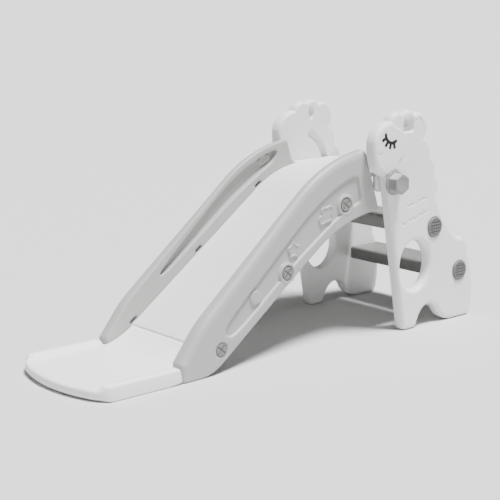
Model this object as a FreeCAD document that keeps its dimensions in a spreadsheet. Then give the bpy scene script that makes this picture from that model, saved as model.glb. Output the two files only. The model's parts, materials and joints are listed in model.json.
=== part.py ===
"""Folding toddler slide with animal-shaped side panels, a FreeCAD parametric document.

Frame: +Z up, floor at Z = 0, the slide runs out towards -X and is climbed from +X.
Left is +Y, as seen by someone standing at the exit and looking up the slide. The
origin is on the floor, under the centre of the overall box. Lengths are in
millimetres, angles in degrees.

The ladder (two side panels and two steps) carries the chute on two hand knobs. The
chute (bed, rails, run-out) folds about their axis; pegs on its platform travel in
arc grooves in the inner faces of the panels. Every outline is drawn with X measured
from the hinge axis and Z from the floor, on the left side, and mirrored to the right.
"""
import FreeCAD, Part
import math
import os

from FreeCAD import Placement, Rotation, Vector

SIZES = {
    # side panels
    "panel_span": 456, "panel_thick": 42, "panel_front": 78, "panel_rear": 359,
    "head_high": 182,
    # oval window through each panel
    "window_x": 99, "window_z": 193, "window_half_wide": 62, "window_half_high": 76,
    # square pocket in the outer face of the head
    "pocket_x": 63, "pocket_above": 138, "pocket_side": 40, "pocket_deep": 14, "pocket_round": 9,
    # platform, ramp and their bends
    "platform_height": 477, "platform_rear": 158, "platform_round": 34, "platform_gap": 2,
    "shoulder_round": 12, "ramp_angle": 35.8, "crest_ahead": 115, "crest_radius": 310,
    "bed_thick": 9, "bed_half_wide": 153.5, "skirt_high": 60, "skirt_thick": 10,
    "skirt_gap": 0.5, "cheek_high": 54, "cheek_thick": 13, "cheek_round": 14,
    "seam_height": 78,
    # run-out
    "runout_top": 32, "runout_bend": 236, "runout_length": 312, "runout_half_wide": 200,
    "nose_bow": 45, "nose_corner": 42, "lip_high": 11, "lip_wide": 22, "lip_length": 205,
    "lip_round": 3, "lip_end_round": 9, "tongue_length": 70, "tongue_thick": 36,
    "tongue_gap": 0.5, "shoulder_ahead": 27,
    # rails
    "rail_seat_gap": 0.5, "rail_flare": 16, "rail_flare_start": 309, "rail_drop": 91,
    "rail_foot_bend": 139, "rail_lower_bend": 427, "rail_upper_bend": 450,
    "rail_belly_ahead": 54, "rail_tip_high": 50, "rail_tip_ahead": 24, "rail_tip_round": 10,
    "rail_toe_ahead": 20, "rail_toe_round": 6, "rail_crown_ahead": 101,
    "rail_crown_high": 55, "rail_end_high": 75, "rail_end_ahead": 72, "rail_end_round": 8,
    "rail_heel_low": 105, "rail_heel_ahead": 16, "rail_brow_behind": 48,
    "rail_brow_high": 142, "rail_brow_bend": 300, "recess_deep": 4, "boss_wide": 10,
    # steps
    "step_deep": 124, "step_thick": 40, "step_round": 8, "step_socket": 6, "socket_gap": 0.5,
    "lower_step_x": 293, "lower_step_z": 149, "upper_step_x": 179, "upper_step_z": 299,
    # hinge
    "pivot_drop": 24, "fold_angle": 60, "groove_radius": 113.5, "groove_width": 23,
    "groove_deep": 7, "groove_spare": 1.5, "peg_angle": 0, "peg_radius": 9, "peg_reach": 5,
    "peg_round": 1.5, "spigot_radius": 6, "spigot_gap": 0.1, "hub_radius": 22,
    "hub_gap": 0.5, "bolt_radius": 8, "bolt_gap": 0.08, "bush_wall": 3, "bush_flange": 5,
    "bush_flange_thick": 2, "nut_across": 24, "nut_thick": 8, "nut_gap": 0.1,
    "bolt_end_gap": 2,
    # hand knobs
    "knob_flange_radius": 36, "knob_flange_thick": 5, "knob_across": 55, "knob_high": 36,
    "knob_gap": 0.6, "knob_round": 4, "knob_bore_deep": 18,
    # step bolts and rail screws
    "plug_radius": 29.5, "plug_thick": 9, "plug_sink": 7, "plug_round": 2,
    "plug_shank_radius": 9, "plug_shank_length": 78, "plug_gap": 0.3, "screw_radius": 19,
    "screw_thick": 4, "screw_shank_radius": 5, "screw_bite": 8, "screw_gap": 0.2,
    "slot_wide": 4, "slot_deep": 1.6, "slot_reach": 13.7, "slot_turn": 40,
    "foot_screw_behind": 113, "foot_screw_drop": 47.5, "mid_screw_ahead": 372,
    "mid_screw_drop": 55.65, "top_screw_ahead": 147, "top_screw_drop": 77,
    # sleeping-eye decals
    "eye_x": -8, "eye_above": 120, "eye_radius": 27, "eye_line": 9, "eye_thick": 0.6,
    "eye_start": 182, "eye_end": 302, "lash_length": 18, "eye_gap": 0.05,
    # how far a cutting tool runs past the face that it enters through
    "cut_spare": 1,
}
LASH_ANGLES = (204, 231, 257, 282)
TOUCH = 1e-3

# places worked out from the sizes, as formulas of the sheet's cells
RISE = "tan(dims.ramp_angle)"
FOOT_X = f"(-dims.crest_ahead - (dims.platform_height - dims.runout_top) / {RISE})"
SEAM_X = f"(-dims.crest_ahead - (dims.platform_height - dims.seam_height) / {RISE})"
SKIRT_X = f"({SEAM_X} + (dims.tongue_length + dims.skirt_gap) * cos(dims.ramp_angle))"
NOSE_X = f"({FOOT_X} - dims.runout_length)"
SHOULDER_X = f"({FOOT_X} - dims.shoulder_ahead)"
PIVOT_X = f"(-({NOSE_X} + dims.panel_rear) / 2)"
PIVOT_Z = "(dims.platform_height - dims.pivot_drop)"
PANEL_HEIGHT = "(dims.platform_height + dims.head_high)"
PANEL_OUTER = "(dims.panel_span / 2)"
PANEL_INNER = f"({PANEL_OUTER} - dims.panel_thick)"
PLATFORM_HALF = f"({PANEL_INNER} - dims.platform_gap)"
CHEEK_INNER = f"({PLATFORM_HALF} - dims.cheek_thick)"
CHEEK_LOW = "(dims.platform_height - dims.cheek_high)"
RAIL_INNER = "(dims.bed_half_wide + dims.rail_seat_gap)"
SKIRT_INNER = "(dims.bed_half_wide - dims.skirt_thick)"
RAIL_TILT = ("((dims.rail_end_ahead - dims.rail_heel_ahead)"
             " / (dims.rail_end_high + dims.rail_heel_low))")
PLATFORM_FRONT = ("(-dims.rail_heel_ahead + dims.rail_seat_gap"
                  f" - {RAIL_TILT} * (dims.rail_heel_low - dims.cheek_high))")
SOCKET_END = f"({PANEL_INNER} + dims.step_socket)"
STEP_END = f"({SOCKET_END} - dims.socket_gap)"
PLUG_SEAT = f"({PANEL_OUTER} - dims.plug_sink)"
PLUG_END = f"({PLUG_SEAT} - dims.plug_shank_length)"
PLUG_BORE = "(dims.plug_shank_radius + dims.plug_gap)"
BOLT_BORE = "(dims.bolt_radius + dims.bolt_gap)"
BUSH_RADIUS = f"({BOLT_BORE} + dims.bush_wall)"
FLANGE_SEAT = f"({PANEL_OUTER} - dims.bush_flange_thick)"
KNOB_SEAT = f"({PANEL_OUTER} + dims.knob_gap)"
NUT_END = f"({CHEEK_INNER} + dims.nut_thick)"
PEG_X = "(dims.groove_radius * cos(dims.peg_angle))"
PEG_Z = f"({PIVOT_Z} + dims.groove_radius * sin(dims.peg_angle))"
PEG_END = f"({PANEL_INNER} + dims.peg_reach)"
SCREW_BORE = "(dims.screw_shank_radius + dims.screw_gap)"
SCREW_END = "(dims.bed_half_wide - dims.screw_bite)"
EYE_SEAT = f"({PANEL_OUTER} + dims.eye_gap)"
BEYOND = f"({PANEL_OUTER} + dims.cut_spare)"

STEPS = {name: (f"dims.{name}_step_x", f"dims.{name}_step_z") for name in ("lower", "upper")}
SCREWS = {
    "foot": (f"({FOOT_X} + dims.foot_screw_behind)",
             f"(dims.runout_top + dims.foot_screw_behind * {RISE} - dims.foot_screw_drop)"),
    "mid": ("-dims.mid_screw_ahead",
            "(dims.platform_height - dims.mid_screw_drop"
            f" - (dims.mid_screw_ahead - dims.crest_ahead) * {RISE})"),
    "top": ("-dims.top_screw_ahead", "(dims.platform_height - dims.top_screw_drop)"),
}

os.makedirs("parts", exist_ok=True)
doc = FreeCAD.newDocument("toddler_slide")
sheet = doc.addObject("Spreadsheet::Sheet", "dims")
for row, (alias, value) in enumerate(SIZES.items(), start=1):
    sheet.set(f"A{row}", alias)
    sheet.set(f"B{row}", str(value))
    sheet.setAlias(f"B{row}", alias)
doc.recompute()

pieces = {}


def number(formula):
    """Value of a formula of the sheet's cells, in millimetres or degrees."""
    return float(sheet.evalExpression(formula))


def dim(alias):
    """Value of one cell of the sheet."""
    return number(f"dims.{alias}")


# ---------------------------------------------------------------- outlines
def joined(start, spans):
    """Curves of a closed outline. A span is (end,) for a line or (middle, end)."""
    curves = []
    last = Vector(*start, 0)
    for span in spans:
        points = [Vector(*point, 0) for point in span]
        if len(points) == 1:
            curves.append(Part.LineSegment(last, points[0]))
        else:
            curves.append(Part.ArcOfCircle(last, *points))
        last = points[-1]
    return curves


def rounded(corners):
    """Curves of a closed outline through (u, v, radius) corners with tangent arcs."""
    turns = []
    for index, (u, v, radius) in enumerate(corners):
        here = Vector(u, v, 0)
        back = (Vector(*corners[index - 1][:2], 0) - here).normalize()
        ahead = (Vector(*corners[(index + 1) % len(corners)][:2], 0) - here).normalize()
        half = back.getAngle(ahead) / 2
        run = radius / math.tan(half)
        middle = here + (back + ahead).normalize() * radius * (1 / math.sin(half) - 1)
        turns.append((here + back * run, middle, here + ahead * run, radius))
    curves = []
    for index, (enter, middle, leave, radius) in enumerate(turns):
        if radius:
            curves.append(Part.ArcOfCircle(enter, middle, leave))
        curves.append(Part.LineSegment(leave, turns[(index + 1) % len(turns)][0]))
    return curves


def rectangle(x_low, x_high, y_low, y_high, radius=0.0):
    """Curves of a rectangle with rounded corners."""
    return rounded([(x_low, y_low, radius), (x_high, y_low, radius),
                    (x_high, y_high, radius), (x_low, y_high, radius)])


def polar(radius, angle, centre_x=0.0, centre_z=0.0):
    """Point at a radius and an angle round a centre."""
    turn = math.radians(angle)
    return centre_x + radius * math.cos(turn), centre_z + radius * math.sin(turn)


# ---------------------------------------------------------------- document objects
def sketch(name, curves, plan=False):
    """Sketch of a closed outline: X and Z of a side view, or X and Y of a plan."""
    item = doc.addObject("Sketcher::SketchObject", name)
    item.Placement = Placement(Vector(), Rotation(Vector(1, 0, 0), 0 if plan else 90))
    item.addGeometry(curves, False)
    item.setExpression("Placement.Base.x", PIVOT_X)
    return item


def slab(name, outline, start, end, plan=False):
    """Solid over a sketch, between two places along Y, or along Z for a plan."""
    item = doc.addObject("Part::Extrusion", name)
    item.Base = outline
    item.DirMode = "Custom"
    item.Dir = Vector(0, 0, 1) if plan else Vector(0, 1, 0)
    item.Solid = True
    item.setExpression("LengthFwd", end)
    item.setExpression("LengthRev", f"-({start})")
    return item


def column(name, curves, low="0"):
    """Solid over a plan, from a place in Z to above the whole slide."""
    return slab(name, sketch(f"{name}_plan", curves, True), low, PANEL_HEIGHT, True)


def along_y(item, start, end, x, z):
    """Bind an upright primitive's height and place so that it runs along Y."""
    item.Placement = Placement(Vector(), Rotation(Vector(1, 0, 0), -90))
    item.setExpression("Height", f"({end}) - ({start})")
    item.setExpression("Placement.Base.x", f"{PIVOT_X} + ({x})")
    item.setExpression("Placement.Base.y", start)
    item.setExpression("Placement.Base.z", z)
    return item


def pin(name, radius, start, end, x="0", z=PIVOT_Z):
    """Cylinder along Y between two places; x is measured from the hinge axis."""
    item = doc.addObject("Part::Cylinder", name)
    item.setExpression("Radius", radius)
    return along_y(item, start, end, x, z)


def hexagon(name, across, start, end):
    """Hexagonal prism along the hinge axis, from its width across flats."""
    item = doc.addObject("Part::Prism", name)
    item.Polygon = 6
    item.setExpression("Circumradius", f"({across}) / 2 / cos(30)")
    return along_y(item, start, end, "0", PIVOT_Z)


def fuse(name, *shapes):
    """One solid from several, without the seams between them."""
    item = doc.addObject("Part::MultiFuse", name)
    item.Shapes = list(shapes)
    item.Refine = True
    return item


def common(name, *shapes):
    """What several solids share."""
    item = doc.addObject("Part::MultiCommon", name)
    item.Shapes = list(shapes)
    item.Refine = True
    return item


def cut(name, base, *tools):
    """A solid without its tools."""
    item = doc.addObject("Part::Cut", name)
    item.Base = base
    item.Tool = tools[0] if len(tools) == 1 else fuse(f"{name}_tools", *tools)
    return item


def mirrored(name, source):
    """Mirror image of a solid in the middle plane Y = 0."""
    item = doc.addObject("Part::Mirroring", name)
    item.Source = source
    item.Normal = Vector(0, 1, 0)
    return item


def both(*shapes):
    """Shapes of the left side and their mirror images."""
    return [*shapes, *(mirrored(f"{shape.Name}_mirror", shape) for shape in shapes)]


def blend(name, base, radius, wanted):
    """Fillet of the edges of a solid for which wanted(edge) holds."""
    doc.recompute()
    item = doc.addObject("Part::Fillet", name)
    item.Base = base
    item.Edges = [(index, dim(radius), dim(radius))
                  for index, edge in enumerate(base.Shape.Edges, start=1) if wanted(edge)]
    return item


def in_plane(place):
    """Test for edges that lie in the plane Y = place."""
    level = number(place)
    return lambda edge: (abs(edge.BoundBox.YMin - level) < TOUCH
                         and abs(edge.BoundBox.YMax - level) < TOUCH)


def keep(item, label):
    """Name a finished piece."""
    item.Label = label
    pieces[label] = item
    return item


def keep_pair(item, label):
    """Name a finished piece of the left side and its mirror image on the right."""
    keep(item, f"{label}_left")
    keep(mirrored(f"{label}_right", item), f"{label}_right")


# ---------------------------------------------------------------- side panels
OUTLINE_FRONT, OUTLINE_REAR, OUTLINE_HEIGHT = 78, 359, 659
OUTLINE_START = (62, 0)
OUTLINE = [
    [(53, 4), (49, 13)], [(-24, 470)], [(-48, 482), (-67, 501)], [(-76, 536), (-77, 574)],
    [(-61, 607), (-10, 630)], [(17, 655), (42, 651)], [(68, 659), (91, 645)],
    [(112, 649), (130, 637)], [(145, 611), (132, 573)], [(155, 549), (158, 514)],
    [(178, 496), (181, 455)], [(196, 429), (187, 398)], [(208, 346), (246, 290)],
    [(266, 269), (289, 252)], [(325, 239), (334, 203)], [(352, 151), (359, 95)],
    [(358, 62), (352, 28)], [(345, 7), (328, 0)], [(255, 0)], [(227, 10), (202, 34)],
    [(168, 63), (135, 52)], [(121, 34), (112, 15)], [(106, 5), (94, 0)], [OUTLINE_START],
]


def panel_point(point):
    """Scale an outline point to the panel's own depth and height."""
    x, z = point
    reach = dim("panel_front") / OUTLINE_FRONT if x < 0 else dim("panel_rear") / OUTLINE_REAR
    return x * reach, z * number(PANEL_HEIGHT) / OUTLINE_HEIGHT


def window():
    """Oval hole through a panel."""
    oval = doc.addObject("Part::Ellipse", "window_oval")
    oval.Placement = Placement(Vector(), Rotation(Vector(0, 0, 1), Vector(1, 0, 0),
                                                  Vector(0, 1, 0)))
    oval.setExpression("MajorRadius", "dims.window_half_high")
    oval.setExpression("MinorRadius", "dims.window_half_wide")
    oval.setExpression("Placement.Base.x", f"{PIVOT_X} + dims.window_x")
    oval.setExpression("Placement.Base.z", "dims.window_z")
    return slab("window", oval, f"{PANEL_INNER} - dims.cut_spare", BEYOND)


def arc_groove():
    """Groove along the guide peg's travel, in the inner face of a panel."""
    middle, half = dim("groove_radius"), dim("groove_width") / 2
    low = dim("peg_angle") - dim("groove_spare")
    high = dim("peg_angle") + dim("fold_angle") + dim("groove_spare")
    cap = math.degrees(half / middle)

    def place(radius, angle):
        return polar(radius, angle, 0, number(PIVOT_Z))

    centre = (low + high) / 2
    outer, inner = middle + half, middle - half
    curves = joined(place(inner, low), [
        [place(inner, centre), place(inner, high)],
        [place(middle, high + cap), place(outer, high)],
        [place(outer, centre), place(outer, low)],
        [place(middle, low - cap), place(inner, low)]])
    return slab("groove", sketch("groove_outline", curves),
                f"{PANEL_INNER} - dims.cut_spare", f"{PANEL_INNER} + dims.groove_deep")


def step_block(name, label, gap, reach):
    """Rounded step block, grown by a gap, that reaches to Y = reach on both sides."""
    x, z = (number(place) for place in STEPS[name])
    deep, high = dim("step_deep") / 2 + gap, dim("step_thick") / 2 + gap
    outline = sketch(f"{label}_outline", rectangle(x - deep, x + deep, z - high, z + high,
                                                   dim("step_round") + gap))
    return slab(label, outline, f"-({reach})", reach)


def head_pocket():
    """Square pocket in the outer face of the head."""
    half, x = dim("pocket_side") / 2, dim("pocket_x")
    z = dim("platform_height") + dim("pocket_above")
    outline = sketch("pocket_outline", rectangle(x - half, x + half, z - half, z + half,
                                                 dim("pocket_round")))
    return slab("pocket", outline, f"{PANEL_OUTER} - dims.pocket_deep", BEYOND)


def make_panel():
    """Side panel with its window, sockets, groove, bores and head pocket."""
    outline = sketch("panel_outline", joined(
        panel_point(OUTLINE_START), [[panel_point(point) for point in span] for span in OUTLINE]))
    tools = [window(), arc_groove(), head_pocket(),
             pin("bush_seat", BUSH_RADIUS, f"{PANEL_INNER} - dims.cut_spare", BEYOND),
             pin("flange_seat", f"{BUSH_RADIUS} + dims.bush_flange", FLANGE_SEAT, BEYOND)]
    for name, (x, z) in STEPS.items():
        tools += [step_block(name, f"{name}_socket", dim("socket_gap"), SOCKET_END),
                  pin(f"{name}_plug_seat", "dims.plug_radius + dims.plug_gap", PLUG_SEAT,
                      BEYOND, x, z),
                  pin(f"{name}_plug_bore", PLUG_BORE, PANEL_INNER, BEYOND, x, z)]
    return cut("panel", slab("panel_blank", outline, PANEL_INNER, PANEL_OUTER), *tools)


# ---------------------------------------------------------------- bed and platform
def bed_height(x):
    """Height of the straight ramp at x."""
    return dim("platform_height") + number(RISE) * (x + dim("crest_ahead"))


def bed_outline(name, depth, start_x, end_x):
    """Side view of the sliding surface from start_x up to end_x, depth thick."""
    angle, bend, top = dim("ramp_angle"), dim("crest_radius"), dim("platform_height")
    tilt = math.radians(angle)
    run = bend * math.tan(tilt / 2)
    centre = (run - dim("crest_ahead"), top - bend)
    low = (start_x, bed_height(start_x))
    sunk = (low[0] + depth * math.sin(tilt), low[1] - depth * math.cos(tilt))

    def on_crest(radius, share):
        return polar(radius, 90 + angle * share, *centre)

    return sketch(name, joined(low, [
        [on_crest(bend, 1)], [on_crest(bend, 0.5), on_crest(bend, 0)], [(end_x, top)],
        [(end_x, top - depth)], [on_crest(bend - depth, 0)],
        [on_crest(bend - depth, 0.5), on_crest(bend - depth, 1)], [sunk], [low]]))


def bed_plate():
    """Plate of the ramp and the wider platform."""
    rear, half, wide = dim("platform_rear"), dim("bed_half_wide"), number(PLATFORM_HALF)
    front, foot, turn = number(PLATFORM_FRONT), number(SEAM_X), dim("shoulder_round")
    plan = column("bed_column", rounded([
        (foot, -half, 0), (front, -half, 0), (front, -wide, turn),
        (rear, -wide, dim("platform_round")), (rear, wide, dim("platform_round")),
        (front, wide, turn), (front, half, 0), (foot, half, 0)]))
    sheet_blank = slab("bed_sheet", bed_outline("bed_outline", dim("bed_thick"), foot, rear),
                       f"-{PLATFORM_HALF}", PLATFORM_HALF)
    return common("bed_plate", sheet_blank, plan)


def platform_cheek():
    """Cheek under the left side of the platform."""
    front, top, low = number(PLATFORM_FRONT), dim("platform_height"), number(CHEEK_LOW)
    rear, turn = dim("platform_rear") - dim("platform_round"), dim("cheek_round")
    outline = sketch("cheek_outline", rounded([
        (front, low, turn), (rear, low, turn), (rear, top - dim("bed_thick"), 0),
        (front, top - dim("bed_thick"), 0)]))
    return slab("cheek", outline, CHEEK_INNER, PLATFORM_HALF)


def make_bed():
    """Ramp and platform in one moulding, with skirts, cheeks, hubs and bores."""
    skirt = slab("skirt", bed_outline("skirt_outline", dim("skirt_high"), number(SKIRT_X),
                                      number(PLATFORM_FRONT)),
                 SKIRT_INNER, "dims.bed_half_wide")
    hub = pin("hub", "dims.hub_radius", PLATFORM_HALF, f"{PANEL_INNER} - dims.hub_gap")
    blank = fuse("bed_blank", bed_plate(), *both(skirt, platform_cheek(), hub))
    tools = [pin("bolt_bore", BOLT_BORE, CHEEK_INNER, PANEL_INNER),
             hexagon("nut_seat", "dims.nut_across + 2 * dims.nut_gap",
                     f"{CHEEK_INNER} - dims.cut_spare", NUT_END),
             pin("spigot_bore", "dims.spigot_radius + dims.spigot_gap",
                 f"{CHEEK_INNER} - dims.cut_spare", PANEL_INNER, PEG_X, PEG_Z)]
    tools += [pin(f"{name}_skirt_bore", SCREW_BORE, f"{SKIRT_INNER} - dims.cut_spare",
                  RAIL_INNER, *SCREWS[name]) for name in ("mid", "top")]
    return cut("bed", blank, *both(*tools))


# ---------------------------------------------------------------- run-out
def runout_outline():
    """Side view of the run-out: tongue under the bed, bend, flat and nose."""
    angle, bend, top = dim("ramp_angle"), dim("runout_bend"), dim("runout_top")
    tilt = math.radians(angle)
    ahead, down = (math.cos(tilt), math.sin(tilt)), (math.sin(tilt), -math.cos(tilt))
    centre = (number(FOOT_X) - bend * math.tan(tilt / 2), top + bend)
    nose, seam = number(NOSE_X), (number(SEAM_X), dim("seam_height"))
    sink = dim("bed_thick") + dim("tongue_gap")
    sunk = (seam[0] + sink * down[0], seam[1] + sink * down[1])
    end = (sunk[0] + dim("tongue_length") * ahead[0], sunk[1] + dim("tongue_length") * ahead[1])
    under = (end[0] + dim("tongue_thick") * down[0], end[1] + dim("tongue_thick") * down[1])
    heel = (under[0] - under[1] / math.tan(tilt), 0)
    return sketch("runout_outline", joined((nose, 0), [
        [(nose, top)], [(centre[0], top)],
        [polar(bend, angle / 2 - 90, *centre), polar(bend, angle - 90, *centre)],
        [seam], [sunk], [end], [under], [heel], [(nose, 0)]]))


def runout_column():
    """Plan of the run-out: neck between the rails, wide tray and bowed nose."""
    half, neck, bow = dim("runout_half_wide"), dim("bed_half_wide"), dim("nose_bow")
    shoulder, nose = number(SHOULDER_X), number(NOSE_X)
    blank = column("runout_blank", joined((nose + bow, -half), [
        [(shoulder, -half)], [(shoulder, -neck)], [(0, -neck)], [(0, neck)],
        [(shoulder, neck)], [(shoulder, half)], [(nose + bow, half)],
        [(nose, 0), (nose + bow, -half)]]))
    front = number(PIVOT_X) + nose + bow
    return blend("runout_column", blank, "nose_corner",
                 lambda edge: edge.BoundBox.XLength < TOUCH and edge.BoundBox.YLength < TOUCH
                 and abs(edge.BoundBox.XMin - front) < TOUCH)


def make_runout():
    """Run-out tray with side lips, a bowed nose and a tongue under the bed."""
    top, shoulder = dim("runout_top"), number(SHOULDER_X)
    level, end = top + dim("lip_high"), shoulder - dim("lip_length")
    lip = slab("lip", sketch("lip_outline", rounded([
        (end, top, 0), (shoulder, top, 0), (shoulder, level, dim("lip_round")),
        (end, level, dim("lip_end_round"))])),
        "dims.runout_half_wide - dims.lip_wide", "dims.runout_half_wide")
    blank = slab("runout_slab", runout_outline(), "-dims.runout_half_wide",
                 "dims.runout_half_wide")
    tray = fuse("tray", common("tray_blank", blank, runout_column()), *both(lip))
    bore = pin("tongue_bore", SCREW_BORE, f"{SCREW_END} - dims.cut_spare", RAIL_INNER,
               *SCREWS["foot"])
    return cut("run_out", tray, *both(bore))


# ---------------------------------------------------------------- rails
def rail_low(x):
    """Height of the straight lower edge of a rail at x."""
    return bed_height(x) - dim("rail_drop")


def rail_outline():
    """Side view of a rail."""
    top, foot, crest = dim("platform_height"), number(FOOT_X), -dim("crest_ahead")
    ground = crest - (top - dim("rail_drop")) / number(RISE)
    belly = crest - dim("rail_belly_ahead")
    return sketch("rail_outline", rounded([
        (foot - dim("rail_toe_ahead"), 0, dim("rail_toe_round")),
        (ground, 0, dim("rail_foot_bend")),
        (belly, rail_low(belly), dim("rail_lower_bend")),
        (-dim("rail_heel_ahead"), top - dim("rail_heel_low"), dim("rail_end_round")),
        (-dim("rail_end_ahead"), top + dim("rail_end_high"), dim("rail_end_round")),
        (crest - dim("rail_crown_ahead"), top + dim("rail_crown_high"), dim("rail_upper_bend")),
        (foot + dim("rail_brow_behind"), dim("rail_brow_high"), dim("rail_brow_bend")),
        (foot - dim("rail_tip_ahead"), dim("rail_tip_high"), dim("rail_tip_round"))]))


# corners of the recess: end of the ramp, distance behind it, height above the rail's
# lower edge, rounding
RECESS = [("foot", 160, 24, 14), ("crest", -37, -16, 60), ("crest", 35, -12, 10),
          ("crest", 13, 88, 10), ("crest", -102, 147, 200), ("foot", 132, 72, 16)]


def recess_outline():
    """Side view of the long recess in the outer face of a rail."""
    ends = {"foot": number(FOOT_X), "crest": -dim("crest_ahead")}
    return sketch("recess_outline", rounded([
        (ends[end] + behind, rail_low(ends[end] + behind) + above, turn)
        for end, behind, above, turn in RECESS]))


def rail_column(name, inset):
    """Plan of a rail between its straight inner face and its flared outer face."""
    inner, outer, flare = number(RAIL_INNER), number(PLATFORM_HALF) - inset, dim("rail_flare")
    foot, tip = number(FOOT_X), number(FOOT_X) - dim("rail_tip_ahead") - dim("rail_tip_round")
    return column(name, joined((tip, inner), [
        [(0, inner)], [(0, outer)], [(-dim("rail_flare_start"), outer)],
        [(foot, outer + flare)], [(tip, outer + flare)], [(tip, inner)]]))


def screw_face(name):
    """Formula for the Y place of a rail's flared outer face at a screw."""
    behind = "(dims.rail_flare_start + {x}) / (dims.rail_flare_start + {foot})"
    share = behind.format(x=SCREWS[name][0], foot=FOOT_X)
    return f"({PLATFORM_HALF} + dims.rail_flare * max(0; {share}))"


def make_rail():
    """Rail: flared moulding with a recess, screw bosses and bores."""
    wide = f"({PLATFORM_HALF} + dims.rail_flare + dims.cut_spare)"
    blank = common("rail_blank", slab("rail_slab", rail_outline(), "0", wide),
                   rail_column("rail_column", 0))
    bosses = [pin(f"{name}_boss", "dims.screw_radius + dims.boss_wide", "0", wide, *place)
              for name, place in SCREWS.items()]
    recess = cut("recess", slab("recess_slab", recess_outline(), RAIL_INNER, wide),
                 rail_column("recess_floor", dim("recess_deep")), *bosses)
    tools = [recess]
    for name, place in SCREWS.items():
        tools += [pin(f"{name}_seat", "dims.screw_radius + dims.screw_gap",
                      f"{screw_face(name)} - dims.screw_thick", wide, *place),
                  pin(f"{name}_rail_bore", SCREW_BORE, "0", wide, *place)]
    return cut("rail", blank, *tools)


# ---------------------------------------------------------------- steps and fasteners
def make_step(name):
    """Tread block that ends in the panel sockets, with bores for its two bolts."""
    bore = pin(f"{name}_step_bore", PLUG_BORE, f"{PLUG_END} - dims.plug_gap", PANEL_OUTER,
               *STEPS[name])
    return cut(f"step_{name}", step_block(name, f"{name}_block", 0, STEP_END), *both(bore))


def make_plug(name):
    """Large step bolt: round head sunk in the panel and a shank into the step."""
    crown = f"{PLUG_SEAT} + dims.plug_thick"
    head = blend(f"{name}_plug_head", pin(f"{name}_plug_disc", "dims.plug_radius", PLUG_SEAT,
                                          crown, *STEPS[name]), "plug_round", in_plane(crown))
    return fuse(f"{name}_plug", head, pin(f"{name}_plug_shank", "dims.plug_shank_radius",
                                          PLUG_END, PLUG_SEAT, *STEPS[name]))


def cross_slots(name):
    """Two slots that cross at the middle of a screw's face."""
    x, z = (number(place) for place in SCREWS[name])
    long, wide, face = dim("slot_reach"), dim("slot_wide") / 2, screw_face(name)
    slots = []
    for index in (0, 1):
        turn = dim("slot_turn") + 90 * index
        along, across = polar(long, turn), polar(wide, turn + 90)
        corners = [(x + a * along[0] + b * across[0], z + a * along[1] + b * across[1], 0)
                   for a, b in ((-1, -1), (1, -1), (1, 1), (-1, 1))]
        outline = sketch(f"{name}_slot_outline_{index}", rounded(corners))
        slots.append(slab(f"{name}_slot_{index}", outline, f"{face} - dims.slot_deep",
                          f"{face} + dims.cut_spare"))
    return slots


def make_screw(name):
    """Rail screw: flat cross-slotted head flush with the rail, and its shank."""
    face = screw_face(name)
    seat = f"({face} - dims.screw_thick)"
    blank = fuse(f"{name}_screw_blank",
                 pin(f"{name}_screw_head", "dims.screw_radius", seat, face, *SCREWS[name]),
                 pin(f"{name}_screw_shank", "dims.screw_shank_radius", SCREW_END, seat,
                     *SCREWS[name]))
    return cut(f"{name}_screw", blank, *cross_slots(name))


# ---------------------------------------------------------------- hinge and knobs
def make_bush():
    """Flanged bush that lines the hinge bore of a panel."""
    blank = fuse("bush_blank", pin("bush_sleeve", BUSH_RADIUS, PANEL_INNER, PANEL_OUTER),
                 pin("bush_flange", f"{BUSH_RADIUS} + dims.bush_flange", FLANGE_SEAT,
                     PANEL_OUTER))
    return cut("bush", blank, pin("bush_bore", BOLT_BORE, f"{PANEL_INNER} - dims.cut_spare",
                                  BEYOND))


def make_nut():
    """Hexagonal nut held in a pocket on the inside of a platform cheek."""
    return cut("nut", hexagon("nut_blank", "dims.nut_across", CHEEK_INNER, NUT_END),
               pin("nut_bore", BOLT_BORE, f"{CHEEK_INNER} - dims.cut_spare", PANEL_INNER))


def make_peg():
    """Guide peg: a spigot in the platform cheek and a head in the arc groove."""
    head = blend("peg_head", pin("peg_disc", "dims.peg_radius", PLATFORM_HALF, PEG_END, PEG_X,
                                 PEG_Z), "peg_round", in_plane(PEG_END))
    return fuse("peg", pin("spigot", "dims.spigot_radius", CHEEK_INNER, PLATFORM_HALF, PEG_X,
                           PEG_Z), head)


def make_knob_bolt():
    """Steel bolt moulded into a knob, through the bush and into the nut."""
    return pin("knob_bolt", "dims.bolt_radius", f"{CHEEK_INNER} - dims.bolt_end_gap",
               f"{KNOB_SEAT} + dims.knob_bore_deep")


def make_knob():
    """Hexagonal hand knob on a round flange, with a blind bore for its bolt."""
    crown = f"{KNOB_SEAT} + dims.knob_high"
    grip = blend("grip", hexagon("grip_blank", "dims.knob_across", KNOB_SEAT, crown),
                 "knob_round", in_plane(crown))
    flange = pin("knob_flange", "dims.knob_flange_radius", KNOB_SEAT,
                 f"{KNOB_SEAT} + dims.knob_flange_thick")
    bore = pin("knob_bore", "dims.bolt_radius", PANEL_OUTER,
               f"{KNOB_SEAT} + dims.knob_bore_deep")
    return cut("knob", fuse("knob_blank", flange, grip), bore)


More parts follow.
